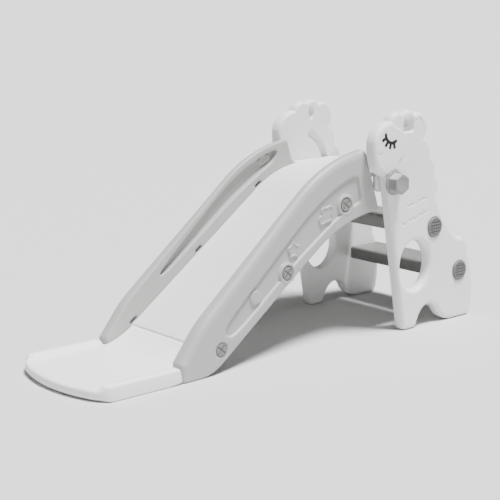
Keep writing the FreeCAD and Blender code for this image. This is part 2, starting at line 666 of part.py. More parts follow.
# ---------------------------------------------------------------- eye decals
def make_eye():
    """Sleeping-eye decal: a lower-lid arc with four lashes, flat on the panel."""
    centre = (dim("eye_x"), dim("platform_height") + dim("eye_above"))
    radius, half = dim("eye_radius"), dim("eye_line") / 2
    start, end = dim("eye_start"), dim("eye_end")
    middle, cap = (start + end) / 2, math.degrees(half / radius)

    def place(reach, angle):
        return polar(reach, angle, *centre)

    lid = joined(place(radius - half, start), [
        [place(radius - half, middle), place(radius - half, end)],
        [place(radius, end + cap), place(radius + half, end)],
        [place(radius + half, middle), place(radius + half, start)],
        [place(radius, start - cap), place(radius - half, start)]])
    outlines = [sketch("lid_outline", lid)]
    for index, angle in enumerate(LASH_ANGLES):
        across = polar(half, angle + 90)
        root, tip = place(radius, angle), place(radius + dim("lash_length"), angle)
        outlines.append(sketch(f"lash_outline_{index}", rounded([
            (spot[0] + side * across[0], spot[1] + side * across[1], 0)
            for spot, side in ((root, -1), (tip, -1), (tip, 1), (root, 1))])))
    return fuse("eye", *(slab(f"eye_part_{index}", outline, EYE_SEAT,
                              f"{EYE_SEAT} + dims.eye_thick")
                         for index, outline in enumerate(outlines)))


# ---------------------------------------------------------------- the whole slide
keep_pair(make_panel(), "side_panel")
keep_pair(make_rail(), "rail")
keep_pair(make_bush(), "hinge_bush")
keep_pair(make_nut(), "hinge_nut")
keep_pair(make_peg(), "guide_peg")
keep_pair(make_knob_bolt(), "knob_bolt")
keep_pair(make_knob(), "knob")
keep_pair(make_eye(), "eye_decal")
for step in STEPS:
    keep_pair(make_plug(step), f"step_bolt_{step}")
    keep(make_step(step), f"step_{step}")
for screw in SCREWS:
    keep_pair(make_screw(screw), f"rail_screw_{screw}")
keep(make_bed(), "chute_bed")
keep(make_runout(), "run_out")

doc.recompute()
for thing in doc.Objects:
    if {"Invalid", "Error"} & set(thing.State):
        raise RuntimeError(f"{thing.Label} failed: {thing.State}")
for label, piece in pieces.items():
    shape = piece.Shape
    if shape.isNull() or not shape.isValid() or len(shape.Solids) != 1:
        raise RuntimeError(f"{label} is not one valid solid: {len(shape.Solids)} solids")
for label, piece in pieces.items():
    piece.Shape.exportStep(f"parts/{label}.step")
    box = piece.Shape.BoundBox
    print(f"{label:26s} {piece.Shape.Volume / 1000:9.1f} cm3  x {box.XMin:7.1f} {box.XMax:7.1f}"
          f"  y {box.YMin:7.1f} {box.YMax:7.1f}  z {box.ZMin:6.1f} {box.ZMax:6.1f}")
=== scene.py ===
"""Folding toddler slide: moulded skins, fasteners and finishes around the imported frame.

Lengths inside the classes are in millimetres. X is measured from the hinge axis, Y from
the middle plane and Z from the floor, and every mesh is turned to metres as it is made.
A field that ends in _line holds the width and depth of a stroke, where a negative depth
stands out from the face.
"""
from __future__ import annotations

import json
import logging
import math
from dataclasses import dataclass, field
from enum import Enum
from typing import Any, Callable

import bpy
import numpy as np
from mathutils import Matrix, Vector
from mathutils.geometry import delaunay_2d_cdt


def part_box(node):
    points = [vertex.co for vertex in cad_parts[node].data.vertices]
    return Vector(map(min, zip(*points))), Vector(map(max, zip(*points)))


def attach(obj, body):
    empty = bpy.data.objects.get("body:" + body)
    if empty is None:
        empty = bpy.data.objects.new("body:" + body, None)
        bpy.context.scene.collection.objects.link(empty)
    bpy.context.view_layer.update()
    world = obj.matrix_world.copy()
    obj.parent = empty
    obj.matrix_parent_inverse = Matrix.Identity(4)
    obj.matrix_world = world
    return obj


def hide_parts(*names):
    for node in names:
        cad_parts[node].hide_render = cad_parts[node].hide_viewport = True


LOG = logging.getLogger("toddler_slide")
MM = 0.001
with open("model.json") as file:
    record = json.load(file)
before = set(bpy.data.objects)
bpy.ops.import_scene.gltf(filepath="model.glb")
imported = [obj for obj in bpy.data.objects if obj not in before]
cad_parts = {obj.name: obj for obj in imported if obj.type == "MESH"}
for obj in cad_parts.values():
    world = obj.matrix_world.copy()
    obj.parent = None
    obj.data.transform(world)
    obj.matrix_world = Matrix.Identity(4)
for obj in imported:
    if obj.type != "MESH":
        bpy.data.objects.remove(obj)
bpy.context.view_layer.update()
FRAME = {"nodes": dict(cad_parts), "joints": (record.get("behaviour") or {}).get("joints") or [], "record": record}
FOLD = next(joint for joint in FRAME["joints"] if joint["name"] == "chute_fold")
HINGE = Vector(FOLD["pos_m"]) / MM

Points = np.ndarray
Height = Callable[[Points], np.ndarray]
Place = Callable[[Points, np.ndarray], Points]


class Side(Enum):
    """The two sides of the slide, by the sign of their Y."""

    LEFT = 1
    RIGHT = -1

    @property
    def word(self) -> str:
        """The word used in the names of this side's pieces."""
        return self.name.lower()


# ------------------------------------------------------------------ materials
def linear(colour: str) -> tuple[float, float, float, float]:
    """Turn an sRGB hex colour into linear RGBA.

    Args:
        colour: Six hex digits with a leading hash.

    Returns:
        Linear red, green, blue and an alpha of one.
    """
    parts = [int(colour[i:i + 2], 16) / 255 for i in (1, 3, 5)]
    curved = [c / 12.92 if c <= 0.04045 else ((c + 0.055) / 1.055) ** 2.4 for c in parts]
    return (*curved, 1.0)


def add_node(tree: bpy.types.NodeTree, kind: str, inputs: dict[Any, Any] | None = None,
             **settings: Any) -> bpy.types.Node:
    """Add a node with its settings, values and links.

    Args:
        tree: The material's or geometry's node tree.
        kind: The node's type name.
        inputs: Socket name or index to a value, or to an output socket to link from.
        settings: Properties of the node.

    Returns:
        The new node.
    """
    node = tree.nodes.new(kind)
    for name, value in settings.items():
        setattr(node, name, value)
    for socket, value in (inputs or {}).items():
        if isinstance(value, bpy.types.NodeSocket):
            tree.links.new(value, node.inputs[socket])
        else:
            node.inputs[socket].default_value = value
    return node


@dataclass(frozen=True)
class MouldedPlastic:
    """A moulded polyolefin: faint flow mottling, a fine satin grain and soft gloss changes."""

    name: str
    colour: str
    roughness: float = 0.42
    grain: float = 2.2
    grain_height: float = 0.05
    mottle: float = 0.035
    scuff: float = 0.0

    def make(self) -> bpy.types.Material:
        """Build the material's nodes.

        Returns:
            The finished material.
        """
        material = bpy.data.materials.new(self.name)
        material.use_nodes = True
        tree = material.node_tree
        tree.nodes.clear()
        place = add_node(tree, "ShaderNodeTexCoord").outputs["Object"]
        # slow flow marks of the melt, some 90 mm across
        flow = add_node(tree, "ShaderNodeTexNoise", {"Vector": place, "Scale": 1 / (90 * MM),
                                                     "Detail": 3.0, "Roughness": 0.55})
        base = linear(self.colour)
        dark = tuple(c * (1 - self.mottle) for c in base[:3]) + (1.0,)
        light = tuple(min(c * (1 + self.mottle), 1.0) for c in base[:3]) + (1.0,)
        tint = add_node(tree, "ShaderNodeMix", {"Factor": flow.outputs["Fac"], "A": dark,
                                                "B": light}, data_type="RGBA")
        # the mould's spark-eroded grain is finer than this, and is drawn coarse enough to show
        grain = add_node(tree, "ShaderNodeTexNoise", {"Vector": place, "Detail": 2.0,
                                                      "Scale": 1 / (self.grain * MM)})
        sheen = add_node(tree, "ShaderNodeTexNoise", {"Vector": place, "Scale": 1 / (35 * MM),
                                                      "Detail": 4.0})
        gloss = add_node(tree, "ShaderNodeMapRange", {
            "Value": sheen.outputs["Fac"], "From Min": 0.3, "From Max": 0.7,
            "To Min": self.roughness - 0.05, "To Max": self.roughness + 0.07})
        bump = add_node(tree, "ShaderNodeBump", {"Height": grain.outputs["Fac"],
                                                 "Strength": 0.35,
                                                 "Distance": self.grain_height * MM})
        normal = bump.outputs["Normal"]
        if self.scuff:
            # fine scuffs along the way the children slide
            turned = add_node(tree, "ShaderNodeMapping", {"Vector": place,
                                                          "Scale": (9.0, 420.0, 9.0)})
            lines = add_node(tree, "ShaderNodeTexNoise", {"Vector": turned.outputs["Vector"],
                                                          "Scale": 1.0, "Detail": 3.0})
            rubbed = add_node(tree, "ShaderNodeBump", {
                "Height": lines.outputs["Fac"], "Normal": normal, "Strength": self.scuff,
                "Distance": 0.04 * MM})
            normal = rubbed.outputs["Normal"]
        shader = add_node(tree, "ShaderNodeBsdfPrincipled", {
            "Base Color": tint.outputs["Result"], "Roughness": gloss.outputs["Result"],
            "Normal": normal, "IOR": 1.5, "Specular IOR Level": 0.45,
            "Subsurface Weight": 0.04, "Subsurface Radius": (0.004, 0.004, 0.004)})
        add_node(tree, "ShaderNodeOutputMaterial", {"Surface": shader.outputs["BSDF"]})
        return material


@dataclass(frozen=True)
class PlatedSteel:
    """Zinc-plated steel: bright grey with fine turned lines."""

    name: str = "zinc_plated_steel"
    colour: str = "#B9BBBD"

    def make(self) -> bpy.types.Material:
        """Build the material's nodes.

        Returns:
            The finished material.
        """
        material = bpy.data.materials.new(self.name)
        material.use_nodes = True
        tree = material.node_tree
        tree.nodes.clear()
        place = add_node(tree, "ShaderNodeTexCoord").outputs["Object"]
        turned = add_node(tree, "ShaderNodeTexNoise", {"Vector": place, "Detail": 3.0,
                                                       "Scale": 1 / (1.5 * MM)})
        rough = add_node(tree, "ShaderNodeMapRange", {"Value": turned.outputs["Fac"],
                                                      "To Min": 0.28, "To Max": 0.42})
        shader = add_node(tree, "ShaderNodeBsdfPrincipled", {
            "Base Color": linear(self.colour), "Metallic": 1.0,
            "Roughness": rough.outputs["Result"]})
        add_node(tree, "ShaderNodeOutputMaterial", {"Surface": shader.outputs["BSDF"]})
        return material


@dataclass(frozen=True)
class PrintedInk:
    """Pad-printed black ink: even and nearly matt, with a faint mesh texture."""

    name: str = "pad_printed_black_ink"
    colour: str = "#050505"

    def make(self) -> bpy.types.Material:
        """Build the material's nodes.

        Returns:
            The finished material.
        """
        material = bpy.data.materials.new(self.name)
        material.use_nodes = True
        tree = material.node_tree
        tree.nodes.clear()
        place = add_node(tree, "ShaderNodeTexCoord").outputs["Object"]
        speck = add_node(tree, "ShaderNodeTexNoise", {"Vector": place, "Scale": 1 / (1.2 * MM)})
        bump = add_node(tree, "ShaderNodeBump", {"Height": speck.outputs["Fac"],
                                                 "Strength": 0.2, "Distance": 0.03 * MM})
        shader = add_node(tree, "ShaderNodeBsdfPrincipled", {
            "Base Color": linear(self.colour), "Roughness": 0.75,
            "Normal": bump.outputs["Normal"]})
        add_node(tree, "ShaderNodeOutputMaterial", {"Surface": shader.outputs["BSDF"]})
        return material


FINISHES: dict[str, Any] = {
    # polyethylene, blown: white and softly glossy, with an even satin grain
    "panel": MouldedPlastic("blow_moulded_white_polyethylene", "#E9E9E8", 0.46),
    # the same polyethylene, coloured light grey in the melt
    "rail": MouldedPlastic("blow_moulded_grey_polyethylene", "#A8A8A7", 0.44),
    # polyethylene, injected against a polished tool, then rubbed by sliding
    "bed": MouldedPlastic("injection_moulded_slide_polyethylene", "#E2E2E1", 0.36, 3.0,
                          0.03, 0.02, 0.25),
    # polyethylene, blown: the run-out is the whitest piece
    "runout": MouldedPlastic("blow_moulded_run_out_polyethylene", "#F0F0EF", 0.4, 2.6, 0.04),
    # polyethylene, blown in mid grey, with a coarser grain underfoot
    "step": MouldedPlastic("grained_grey_step_polyethylene", "#727271", 0.55, 3.0, 0.12, 0.05),
    # polypropylene, injected: the knobs are smoother than the panels
    "knob": MouldedPlastic("injection_moulded_knob_polypropylene", "#868685", 0.38, 2.0, 0.04),
    # polypropylene, injected: grey, with a dull grain
    "fastener": MouldedPlastic("injection_moulded_bolt_polypropylene", "#6A6A69", 0.5, 2.0,
                               0.06),
    # polypropylene, injected: the rail screws are a little lighter than the bolts
    "screw": MouldedPlastic("injection_moulded_screw_polypropylene", "#7C7C7B", 0.45, 2.0,
                            0.05),
    # acetal, turned: smooth and slightly waxy
    "bush": MouldedPlastic("turned_acetal", "#D8D8D4", 0.3, 1.6, 0.02),
    "steel": PlatedSteel(),
    "decal": PrintedInk(),
}
MATERIALS = {slot: finish.make() for slot, finish in FINISHES.items()}


# ------------------------------------------------------------------ plane geometry
def smooth_step(value: np.ndarray) -> np.ndarray:
    """Ease from 0 to 1 as value goes from 0 to 1."""
    t = np.clip(value, 0.0, 1.0)
    return t * t * (3 - 2 * t)


def resample(path: Points, gap: float, closed: bool = True) -> Points:
    """Put points at an even gap along a polyline.

    Args:
        path: Corner points, one row each.
        gap: Wanted distance between points.
        closed: True if the last point joins the first.

    Returns:
        The evenly spaced points.
    """
    ring = closing(path) if closed else np.asarray(path, float)
    run = np.concatenate([[0.0], np.cumsum(np.linalg.norm(np.diff(ring, axis=0), axis=1))])
    count = max(int(round(run[-1] / gap)), 4)
    ends = 0 if closed else 1
    stations = np.linspace(0, run[-1], count + ends, endpoint=not closed)
    return np.column_stack([np.interp(stations, run, ring[:, k]) for k in (0, 1)])


def soften(path: list[tuple[float, float]], rounds: int = 3, closed: bool = True) -> Points:
    """Cut a polyline's corners again and again until it is a smooth curve.

    Args:
        path: Corner points.
        rounds: How many times every corner is cut.
        closed: True if the last point joins the first.

    Returns:
        The smooth curve's points.
    """
    ring = np.asarray(path, float)
    for _ in range(rounds):
        ahead = np.roll(ring, -1, axis=0)
        cut = np.stack([0.75 * ring + 0.25 * ahead, 0.25 * ring + 0.75 * ahead], axis=1)
        if closed:
            ring = cut.reshape(-1, 2)
        else:
            ring = np.vstack([ring[:1], cut[:-1].reshape(-1, 2), ring[-1:]])
    return ring


def circle(x: float, z: float, radius: float, gap: float = 2.0) -> Points:
    """Evenly spaced points round a circle.

    Args:
        x: The middle's place along X.
        z: The middle's place along Z.
        radius: The circle's radius.
        gap: Wanted distance between points.

    Returns:
        The points, anticlockwise.
    """
    count = max(int(2 * math.pi * radius / gap), 12)
    turn = np.arange(count) * 2 * math.pi / count
    return np.column_stack([x + radius * np.cos(turn), z + radius * np.sin(turn)])


def closing(ring: Points) -> Points:
    """A ring's points with the first one again at the end."""
    return np.vstack([ring, ring[:1]])


def from_path(points: Points, path: Points, closed: bool = True) -> tuple[np.ndarray, np.ndarray]:
    """Distance from points to a polyline.

    Args:
        points: Where to measure from.
        path: The polyline.
        closed: True if the last point joins the first.

    Returns:
        The distances, and the index of each nearest stretch.
    """
    start = path if closed else path[:-1]
    reach = (np.roll(path, -1, axis=0) if closed else path[1:]) - start
    length = np.maximum((reach ** 2).sum(axis=1), 1e-12)
    near = np.empty(len(points))
    index = np.empty(len(points), int)
    block = 1500
    for low in range(0, len(points), block):
        away = points[low:low + block, None, :] - start[None]
        along = np.clip((away * reach[None]).sum(axis=2) / length[None], 0, 1)
        gap = ((away - along[..., None] * reach[None]) ** 2).sum(axis=2)
        best = gap.argmin(axis=1)
        index[low:low + block] = best
        near[low:low + block] = np.sqrt(gap[np.arange(len(best)), best])
    return near, index


def inside(points: Points, loop: Points) -> np.ndarray:
    """Find out which points lie inside a closed polyline.

    Args:
        points: The points to test.
        loop: The polyline.

    Returns:
        True for each point inside it.
    """
    result = np.zeros(len(points), bool)
    block = 4000
    following = np.roll(loop, -1, axis=0)
    for low in range(0, len(points), block):
        x = points[low:low + block, 0, None]
        y = points[low:low + block, 1, None]
        spans = (loop[None, :, 1] > y) != (following[None, :, 1] > y)
        rise = np.where(following[:, 1] == loop[:, 1], 1e-9, following[:, 1] - loop[:, 1])
        crossing = loop[:, 0] + (y - loop[:, 1]) * (following[:, 0] - loop[:, 0]) / rise
        result[low:low + block] = ((spans & (x < crossing)).sum(axis=1) % 2).astype(bool)
    return result


def normals(loop: Points) -> Points:
    """Work out the normals of a closed polyline.

    Args:
        loop: The polyline.

    Returns:
        A unit normal at each point, to the polyline's left.
    """
    along = np.roll(loop, -1, axis=0) - np.roll(loop, 1, axis=0)
    along /= np.maximum(np.linalg.norm(along, axis=1, keepdims=True), 1e-9)
    return np.column_stack([-along[:, 1], along[:, 0]])


def area(loop: Points) -> float:
    """Signed area of a closed polyline."""
    ahead = np.roll(loop, -1, axis=0)
    return float((loop[:, 0] * ahead[:, 1] - ahead[:, 0] * loop[:, 1]).sum() / 2)


def thin(points: Points, gap: float) -> Points:
    """Keep one point in each square cell.

    Args:
        points: The points to thin out.
        gap: The cell's side.

    Returns:
        The points that are kept, in their own order.
    """
    cells = np.round(points / gap).astype(np.int64)
    _, first = np.unique(cells, axis=0, return_index=True)
    return points[np.sort(first)]


def at_height(value: float) -> Height:
    """A face that stands at one height everywhere."""
    return lambda points: np.full(len(points), value)


def upright(flat: Points, height: np.ndarray) -> Points:
    """Place an outline given in X and Z, with its height along Y."""
    return np.column_stack([flat[:, 0], height, flat[:, 1]])


def round_origin(flat: Points, height: np.ndarray) -> Points:
    """Place an outline in the same way round the origin, for a pattern to be copied."""
    return np.column_stack([flat[:, 0] - HINGE.x, height, flat[:, 1]])


# ------------------------------------------------------------------ relief
@dataclass
class Sink:
    """A region let into a face, or raised from it when depth is negative."""

    outline: Points
    depth: float
    wall: float = 4.0

    def guides(self) -> Points:
        """Work out where the mesh has to follow the region's wall.

        Returns:
            The points, in rows beside the outline.
        """
        ring = resample(self.outline, 2.2)
        if area(ring) < 0:
            ring = ring[::-1]
        side = normals(ring)
        steps = (-1.1, -0.7, -0.3, 0.0, 0.3, 0.7, 1.1)
        return np.vstack([ring + side * (self.wall / 2 * k) for k in steps])

    def height(self, points: Points) -> np.ndarray:
        """Work out the relief of the region.

        Args:
            points: Points of the face.

        Returns:
            The relief's height at each, negative below the face.
        """
        far, _ = from_path(points, self.outline)
        signed = np.where(inside(points, self.outline), far, -far)
        return -self.depth * smooth_step(signed / self.wall + 0.5)


@dataclass
class Stroke:
    """A groove along an open line, or a bead when depth is negative."""

    path: Points
    width: float = 5.0
    depth: float = 1.2

    def guides(self) -> Points:
        """Work out where the mesh has to follow the groove.

        Returns:
            The points, in rows beside the line.
        """
        line = resample(self.path, 2.0, closed=False)
        along = np.gradient(line, axis=0)
        along /= np.maximum(np.linalg.norm(along, axis=1, keepdims=True), 1e-9)
        side = np.column_stack([-along[:, 1], along[:, 0]])
        return np.vstack([line + side * (self.width / 2 * k) for k in (-1.2, -0.6, 0, 0.6, 1.2)])

    def height(self, points: Points) -> np.ndarray:
        """Height of the relief at each point, negative below the face."""
        far, _ = from_path(points, self.path, closed=False)
        return -self.depth * (1 - smooth_step(far / (self.width / 2)))


Relief = Sink | Stroke


@dataclass
class Rounding:
    """How far an edge's rounding reaches into the face, and how far down the side."""

    reach: float | Callable[[Points], np.ndarray]
    drop: float | Callable[[Points], np.ndarray]

    def at(self, outward: Points) -> tuple[np.ndarray, np.ndarray]:
        """Work out the rounding at points of the rim.

        Args:
            outward: The rim's outward normal at each point.

        Returns:
            The reach and the drop at each point.
        """
        found = []
        for value in (self.reach, self.drop):
            found.append(value(outward) if callable(value) else np.full(len(outward), value))
        return found[0], found[1]


def ease_round(values: np.ndarray, half: int) -> np.ndarray:
    """Average a closed run of values over a window.

    Args:
        values: The values, round a rim.
        half: How many points the window holds on each side.

    Returns:
        The averaged values.
    """
    if half < 1 or np.ptp(values) < 1e-9:
        return values
    kernel = np.ones(2 * half + 1) / (2 * half + 1)
    padded = np.concatenate([values[-half:], values, values[:half]])
    return np.convolve(padded, kernel, mode="valid")


@dataclass
class Skin:
    """A closed moulding over a flat outline: two relieved faces with rounded edges.

    The faces stand at heights front and back over the outline, and place turns the
    outline's coordinates and a height into the object's own.
    """

    loops: list[Points]
    front: Height
    back: Height
    round_front: Rounding
    round_back: Rounding
    place: Place
    relief_front: list[Relief] = field(default_factory=list)
    relief_back: list[Relief] = field(default_factory=list)
    pitch: float = 8.0
    rim_gap: float = 3.0
    shape_front: Callable[[Points, np.ndarray], np.ndarray] | None = None

    RIM_ANGLES = (14, 28, 42, 56, 70, 84, 100)
    EASE = 18.0

    def mesh(self, name: str) -> bpy.types.Mesh:
        """Build the skin.

        Args:
            name: Name of the mesh.

        Returns:
            A closed mesh in metres with smooth faces that point outwards.
        """
        rims = [resample(loop, self.rim_gap) for loop in self.loops]
        rims = [rim if (area(rim) > 0) == (k == 0) else rim[::-1] for k, rim in enumerate(rims)]
        inward = [normals(rim) for rim in rims]
        corner = []
        for rim, side in zip(rims, inward):
            half = max(int(self.EASE / self.rim_gap), 1)
            values = [*self.round_front.at(-side), *self.round_back.at(-side)]
            corner.append([ease_round(v, half if len(rim) > 4 * half else 0) for v in values])
        cloud = [self.inner_points(rims)]
        for rim, side, values in zip(rims, inward, corner):
            reach = np.maximum(values[0], values[2])
            for angle in self.RIM_ANGLES:
                step = reach * (1 - math.cos(math.radians(min(angle, 90))))
                step = step * (1.12 if angle > 90 else 1.0)
                ring = rim + side * step[:, None]
                gaps = np.min([from_path(ring, other)[0] for other in rims], axis=0)
                cloud.append(ring[gaps > step * 0.97 - 1e-6])
        for feature in self.relief_front + self.relief_back:
            cloud.append(thin(feature.guides(), 0.9))
        loose = thin(np.vstack(cloud), 0.55)
        gaps = np.min([from_path(loose, rim)[0] for rim in rims], axis=0)
        loose = loose[(gaps > 0.25) & self.within(loose, rims)]
        return self.close(name, rims, corner, loose)

    def inner_points(self, rims: list[Points]) -> Points:
        """Lay a staggered grid of points over the outline's box.

        Args:
            rims: The outline and its holes.

        Returns:
            The grid's points, the ones beyond the rims included.
        """
        low, high = rims[0].min(axis=0), rims[0].max(axis=0)
        rows = np.arange(low[1], high[1], self.pitch * 0.866)
        columns = np.arange(low[0], high[0], self.pitch)
        grid = [np.column_stack([columns + (k % 2) * self.pitch / 2, np.full(len(columns), y)])
                for k, y in enumerate(rows)]
        return np.vstack(grid)

    @staticmethod
    def within(points: Points, rims: list[Points]) -> np.ndarray:
        """Find out which points lie on the face.

        Args:
            points: The points to test.
            rims: The outline and its holes.

        Returns:
            True for each point inside the first rim and outside the others.
        """
        keep = inside(points, rims[0])
        for rim in rims[1:]:
            keep &= ~inside(points, rim)
        return keep

    def close(self, name: str, rims: list[Points], corner: list, loose: Points) -> bpy.types.Mesh:
        """Triangulate the outline, raise both faces and join them round every rim.

        Args:
            name: Name of the mesh.
            rims: The outline and its holes.
            corner: Reach and drop of the front rounding and of the back one, by rim.
            loose: Points of the faces off the rims.

        Returns:
            The closed mesh.
        """
        given = np.vstack(rims + [loose])
        edges = []
        base = 0
        for rim in rims:
            edges += [(base + k, base + (k + 1) % len(rim)) for k in range(len(rim))]
            base += len(rim)
        verts, _, faces, *_ = delaunay_2d_cdt([Vector(p) for p in given], edges, [], 1, 1e-5)
        flat = np.array([tuple(v) for v in verts])
        tris = np.array(faces, int)
        for rim in rims[1:]:
            tris = tris[~inside(flat[tris].mean(axis=1), rim)]
        used, tris = np.unique(tris, return_inverse=True)
        tris = tris.reshape(-1, 3)
        flat = flat[used]
        falls = [np.zeros(len(flat)), np.zeros(len(flat))]
        for rim, values in zip(rims, corner):
            gap, index = from_path(flat, rim)
            for k in (0, 1):
                reach, drop = values[2 * k][index], values[2 * k + 1][index]
                share = np.clip(1 - gap / np.maximum(reach, 1e-6), 0, 1)
                falls[k] = np.maximum(falls[k], drop * (1 - np.sqrt(1 - share ** 2)))
        top = self.front(flat) - falls[0] + sum((f.height(flat) for f in self.relief_front),
                                                np.zeros(len(flat)))
        if self.shape_front is not None:
            top = self.shape_front(flat, top)
        low = self.back(flat) + falls[1] - sum((f.height(flat) for f in self.relief_back),
                                               np.zeros(len(flat)))
        count = len(flat)
        shown = np.vstack([self.place(flat, top), self.place(flat, low)])
        sheet = [tuple(t) for t in tris] + [tuple(t[::-1] + count) for t in tris]
        sides = dict.fromkeys(side for a, b, c in tris for side in ((a, b), (b, c), (c, a)))
        walls = [(v, u, u + count, v + count) for u, v in sides if (v, u) not in sides]
        return build_mesh(name, shown, sheet + walls)


def build_mesh(name: str, points: Points, faces: list[tuple]) -> bpy.types.Mesh:
    """Make a smooth mesh in metres from points in millimetres from the hinge axis.

    Args:
        name: Name of the mesh.
        points: One row of X, Y and Z for each vertex.
        faces: Vertex numbers of each face.

    Returns:
        The mesh, turned so that its faces point outwards.
    """
    spots = (np.asarray(points, float) + [HINGE.x, 0, 0]) * MM
    mesh = bpy.data.meshes.new(name)
    mesh.from_pydata(spots.tolist(), [], [tuple(int(i) for i in f) for f in faces])
    mesh.update()
    mesh.calc_loop_triangles()
    volume = 0.0
    for tri in mesh.loop_triangles:
        a, b, c = (Vector(spots[i]) for i in tri.vertices)
        volume += a.dot(b.cross(c))
    if volume < 0:
        mesh.flip_normals()
    mesh.shade_smooth()
    return mesh


def mirrored(mesh: bpy.types.Mesh, name: str) -> bpy.types.Mesh:
    """Copy a mesh to the other side of the middle plane.

    Args:
        mesh: The mesh to copy.
        name: Name of the copy.

    Returns:
        The mirrored mesh, its faces outwards.
    """
    copy = mesh.copy()
    copy.name = name
    copy.transform(Matrix.Scale(-1, 4, (0, 1, 0)))
    copy.flip_normals()
    return copy


def joined(name: str, parts: list[bpy.types.Mesh]) -> bpy.types.Mesh:
    """Put the faces of several meshes in one.

    Args:
        name: Name of the new mesh.
        parts: The meshes.

    Returns:
        The new mesh.
    """
    points: list = []
    faces: list = []
    for part in parts:
        base = len(points)
        points += [tuple(v.co) for v in part.vertices]
        faces += [tuple(base + i for i in p.vertices) for p in part.polygons]
    mesh = bpy.data.meshes.new(name)
    mesh.from_pydata(points, [], faces)
    mesh.update()
    mesh.shade_smooth()
    return mesh


def piece(name: str, mesh: bpy.types.Mesh, body: str, slot: str,
          replaced: list[str] | None = None) -> bpy.types.Object:
    """Show a mesh as a finished piece of the slide.

    Args:
        name: Name of the piece.
        mesh: Its mesh, in place.
        body: The body that it moves with.
        slot: The material slot that it takes its finish from.
        replaced: The frame's nodes that it stands for.

    Returns:
        The new object.
    """
    shown = bpy.data.objects.new(name, mesh)
    bpy.context.scene.collection.objects.link(shown)
    mesh.materials.clear()
    mesh.materials.append(MATERIALS[slot])
    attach(shown, body)
    if replaced:
        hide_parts(*replaced)
    LOG.info("%s: %d faces on %s", name, len(mesh.polygons), body)
    return shown


def node_loops(node: str, height: float) -> list[Points]:
    """Outlines of a frame node's flat side face, largest first.

    Args:
        node: The node's name.
        height: The face's Y, in millimetres.

    Returns:
        Closed outlines in X from the hinge axis and Z, in millimetres.
    """
    mesh = FRAME["nodes"][node].data
    spots = np.array([tuple(v.co) for v in mesh.vertices]) / MM
    level = np.abs(spots[:, 1] - height) < 0.02
    keys = [tuple(np.round(p * 100).astype(int)) for p in spots]
    edges: dict[tuple, None] = {}
    for face in mesh.polygons:
        if not all(level[i] for i in face.vertices):
            continue
        ring = [keys[i] for i in face.vertices]
        for u, v in zip(ring, ring[1:] + ring[:1]):
            if (v, u) in edges:
                del edges[(v, u)]
            else:
                edges[(u, v)] = None
    following = dict(edges.keys())
    loops = []
    while following:
        start, here = following.popitem()
        ring = [start]
        while here != start and here in following:
            ring.append(here)
            here = following.pop(here)
        loops.append(np.array([(p[0] / 100 - HINGE.x, p[2] / 100) for p in ring], float))
    return sorted(loops, key=lambda ring: -abs(area(ring)))


def centre(node: str) -> tuple[float, float, float]:
    """Middle of a node's box, in millimetres, X from the hinge axis."""
    low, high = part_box(node)
    return ((low[0] + high[0]) / 2 / MM - HINGE.x, (low[1] + high[1]) / 2 / MM,
            (low[2] + high[2]) / 2 / MM)


# ------------------------------------------------------------------ geometry nodes
def geometry_tree(name: str, inputs: dict[str, tuple[str, Any]]) -> tuple:
    """Start a Geometry Nodes tree with named inputs.

    Args:
        name: Name of the tree.
        inputs: Input name to its socket type and default.

    Returns:
        The tree, its input node and its output node.
    """
    tree = bpy.data.node_groups.new(name, "GeometryNodeTree")
    tree.interface.new_socket("Geometry", in_out="INPUT", socket_type="NodeSocketGeometry")
    for label, (kind, value) in inputs.items():
        socket = tree.interface.new_socket(label, in_out="INPUT", socket_type=kind)
        if value is not None:
            socket.default_value = value
    tree.interface.new_socket("Geometry", in_out="OUTPUT", socket_type="NodeSocketGeometry")
    return tree, tree.nodes.new("NodeGroupInput"), tree.nodes.new("NodeGroupOutput")


def end_tree(tree: bpy.types.NodeTree, geometry: bpy.types.NodeSocket,
             finish: bpy.types.NodeSocket, output: bpy.types.Node) -> None:
    """End a tree in Realize Instances and Set Material.

    Args:
        tree: The tree.
        geometry: Socket that gives the tree's geometry.
        finish: Socket that gives its material.
        output: The tree's output node.
    """
    real = add_node(tree, "GeometryNodeRealizeInstances", {"Geometry": geometry})
    dressed = add_node(tree, "GeometryNodeSetMaterial", {"Geometry": real.outputs["Geometry"],
                                                         "Material": finish})
    tree.links.new(dressed.outputs["Geometry"], output.inputs["Geometry"])


def pattern_tree() -> bpy.types.NodeTree:
    """Make the tree that puts a turned copy of one pattern object on each given point.

    Returns:
        The tree.
    """
    tree, given, output = geometry_tree("copies_on_points", {
        "Pattern": ("NodeSocketObject", None), "Finish": ("NodeSocketMaterial", None)})
    pattern = add_node(tree, "GeometryNodeObjectInfo", {"Object": given.outputs["Pattern"]})
    turn = add_node(tree, "GeometryNodeInputNamedAttribute", {"Name": "turn"},
                    data_type="FLOAT_VECTOR")
    copies = add_node(tree, "GeometryNodeInstanceOnPoints", {
        "Points": given.outputs["Geometry"], "Instance": pattern.outputs["Geometry"],
        "Rotation": turn.outputs["Attribute"]})
    end_tree(tree, copies.outputs["Instances"], given.outputs["Finish"], output)
    return tree


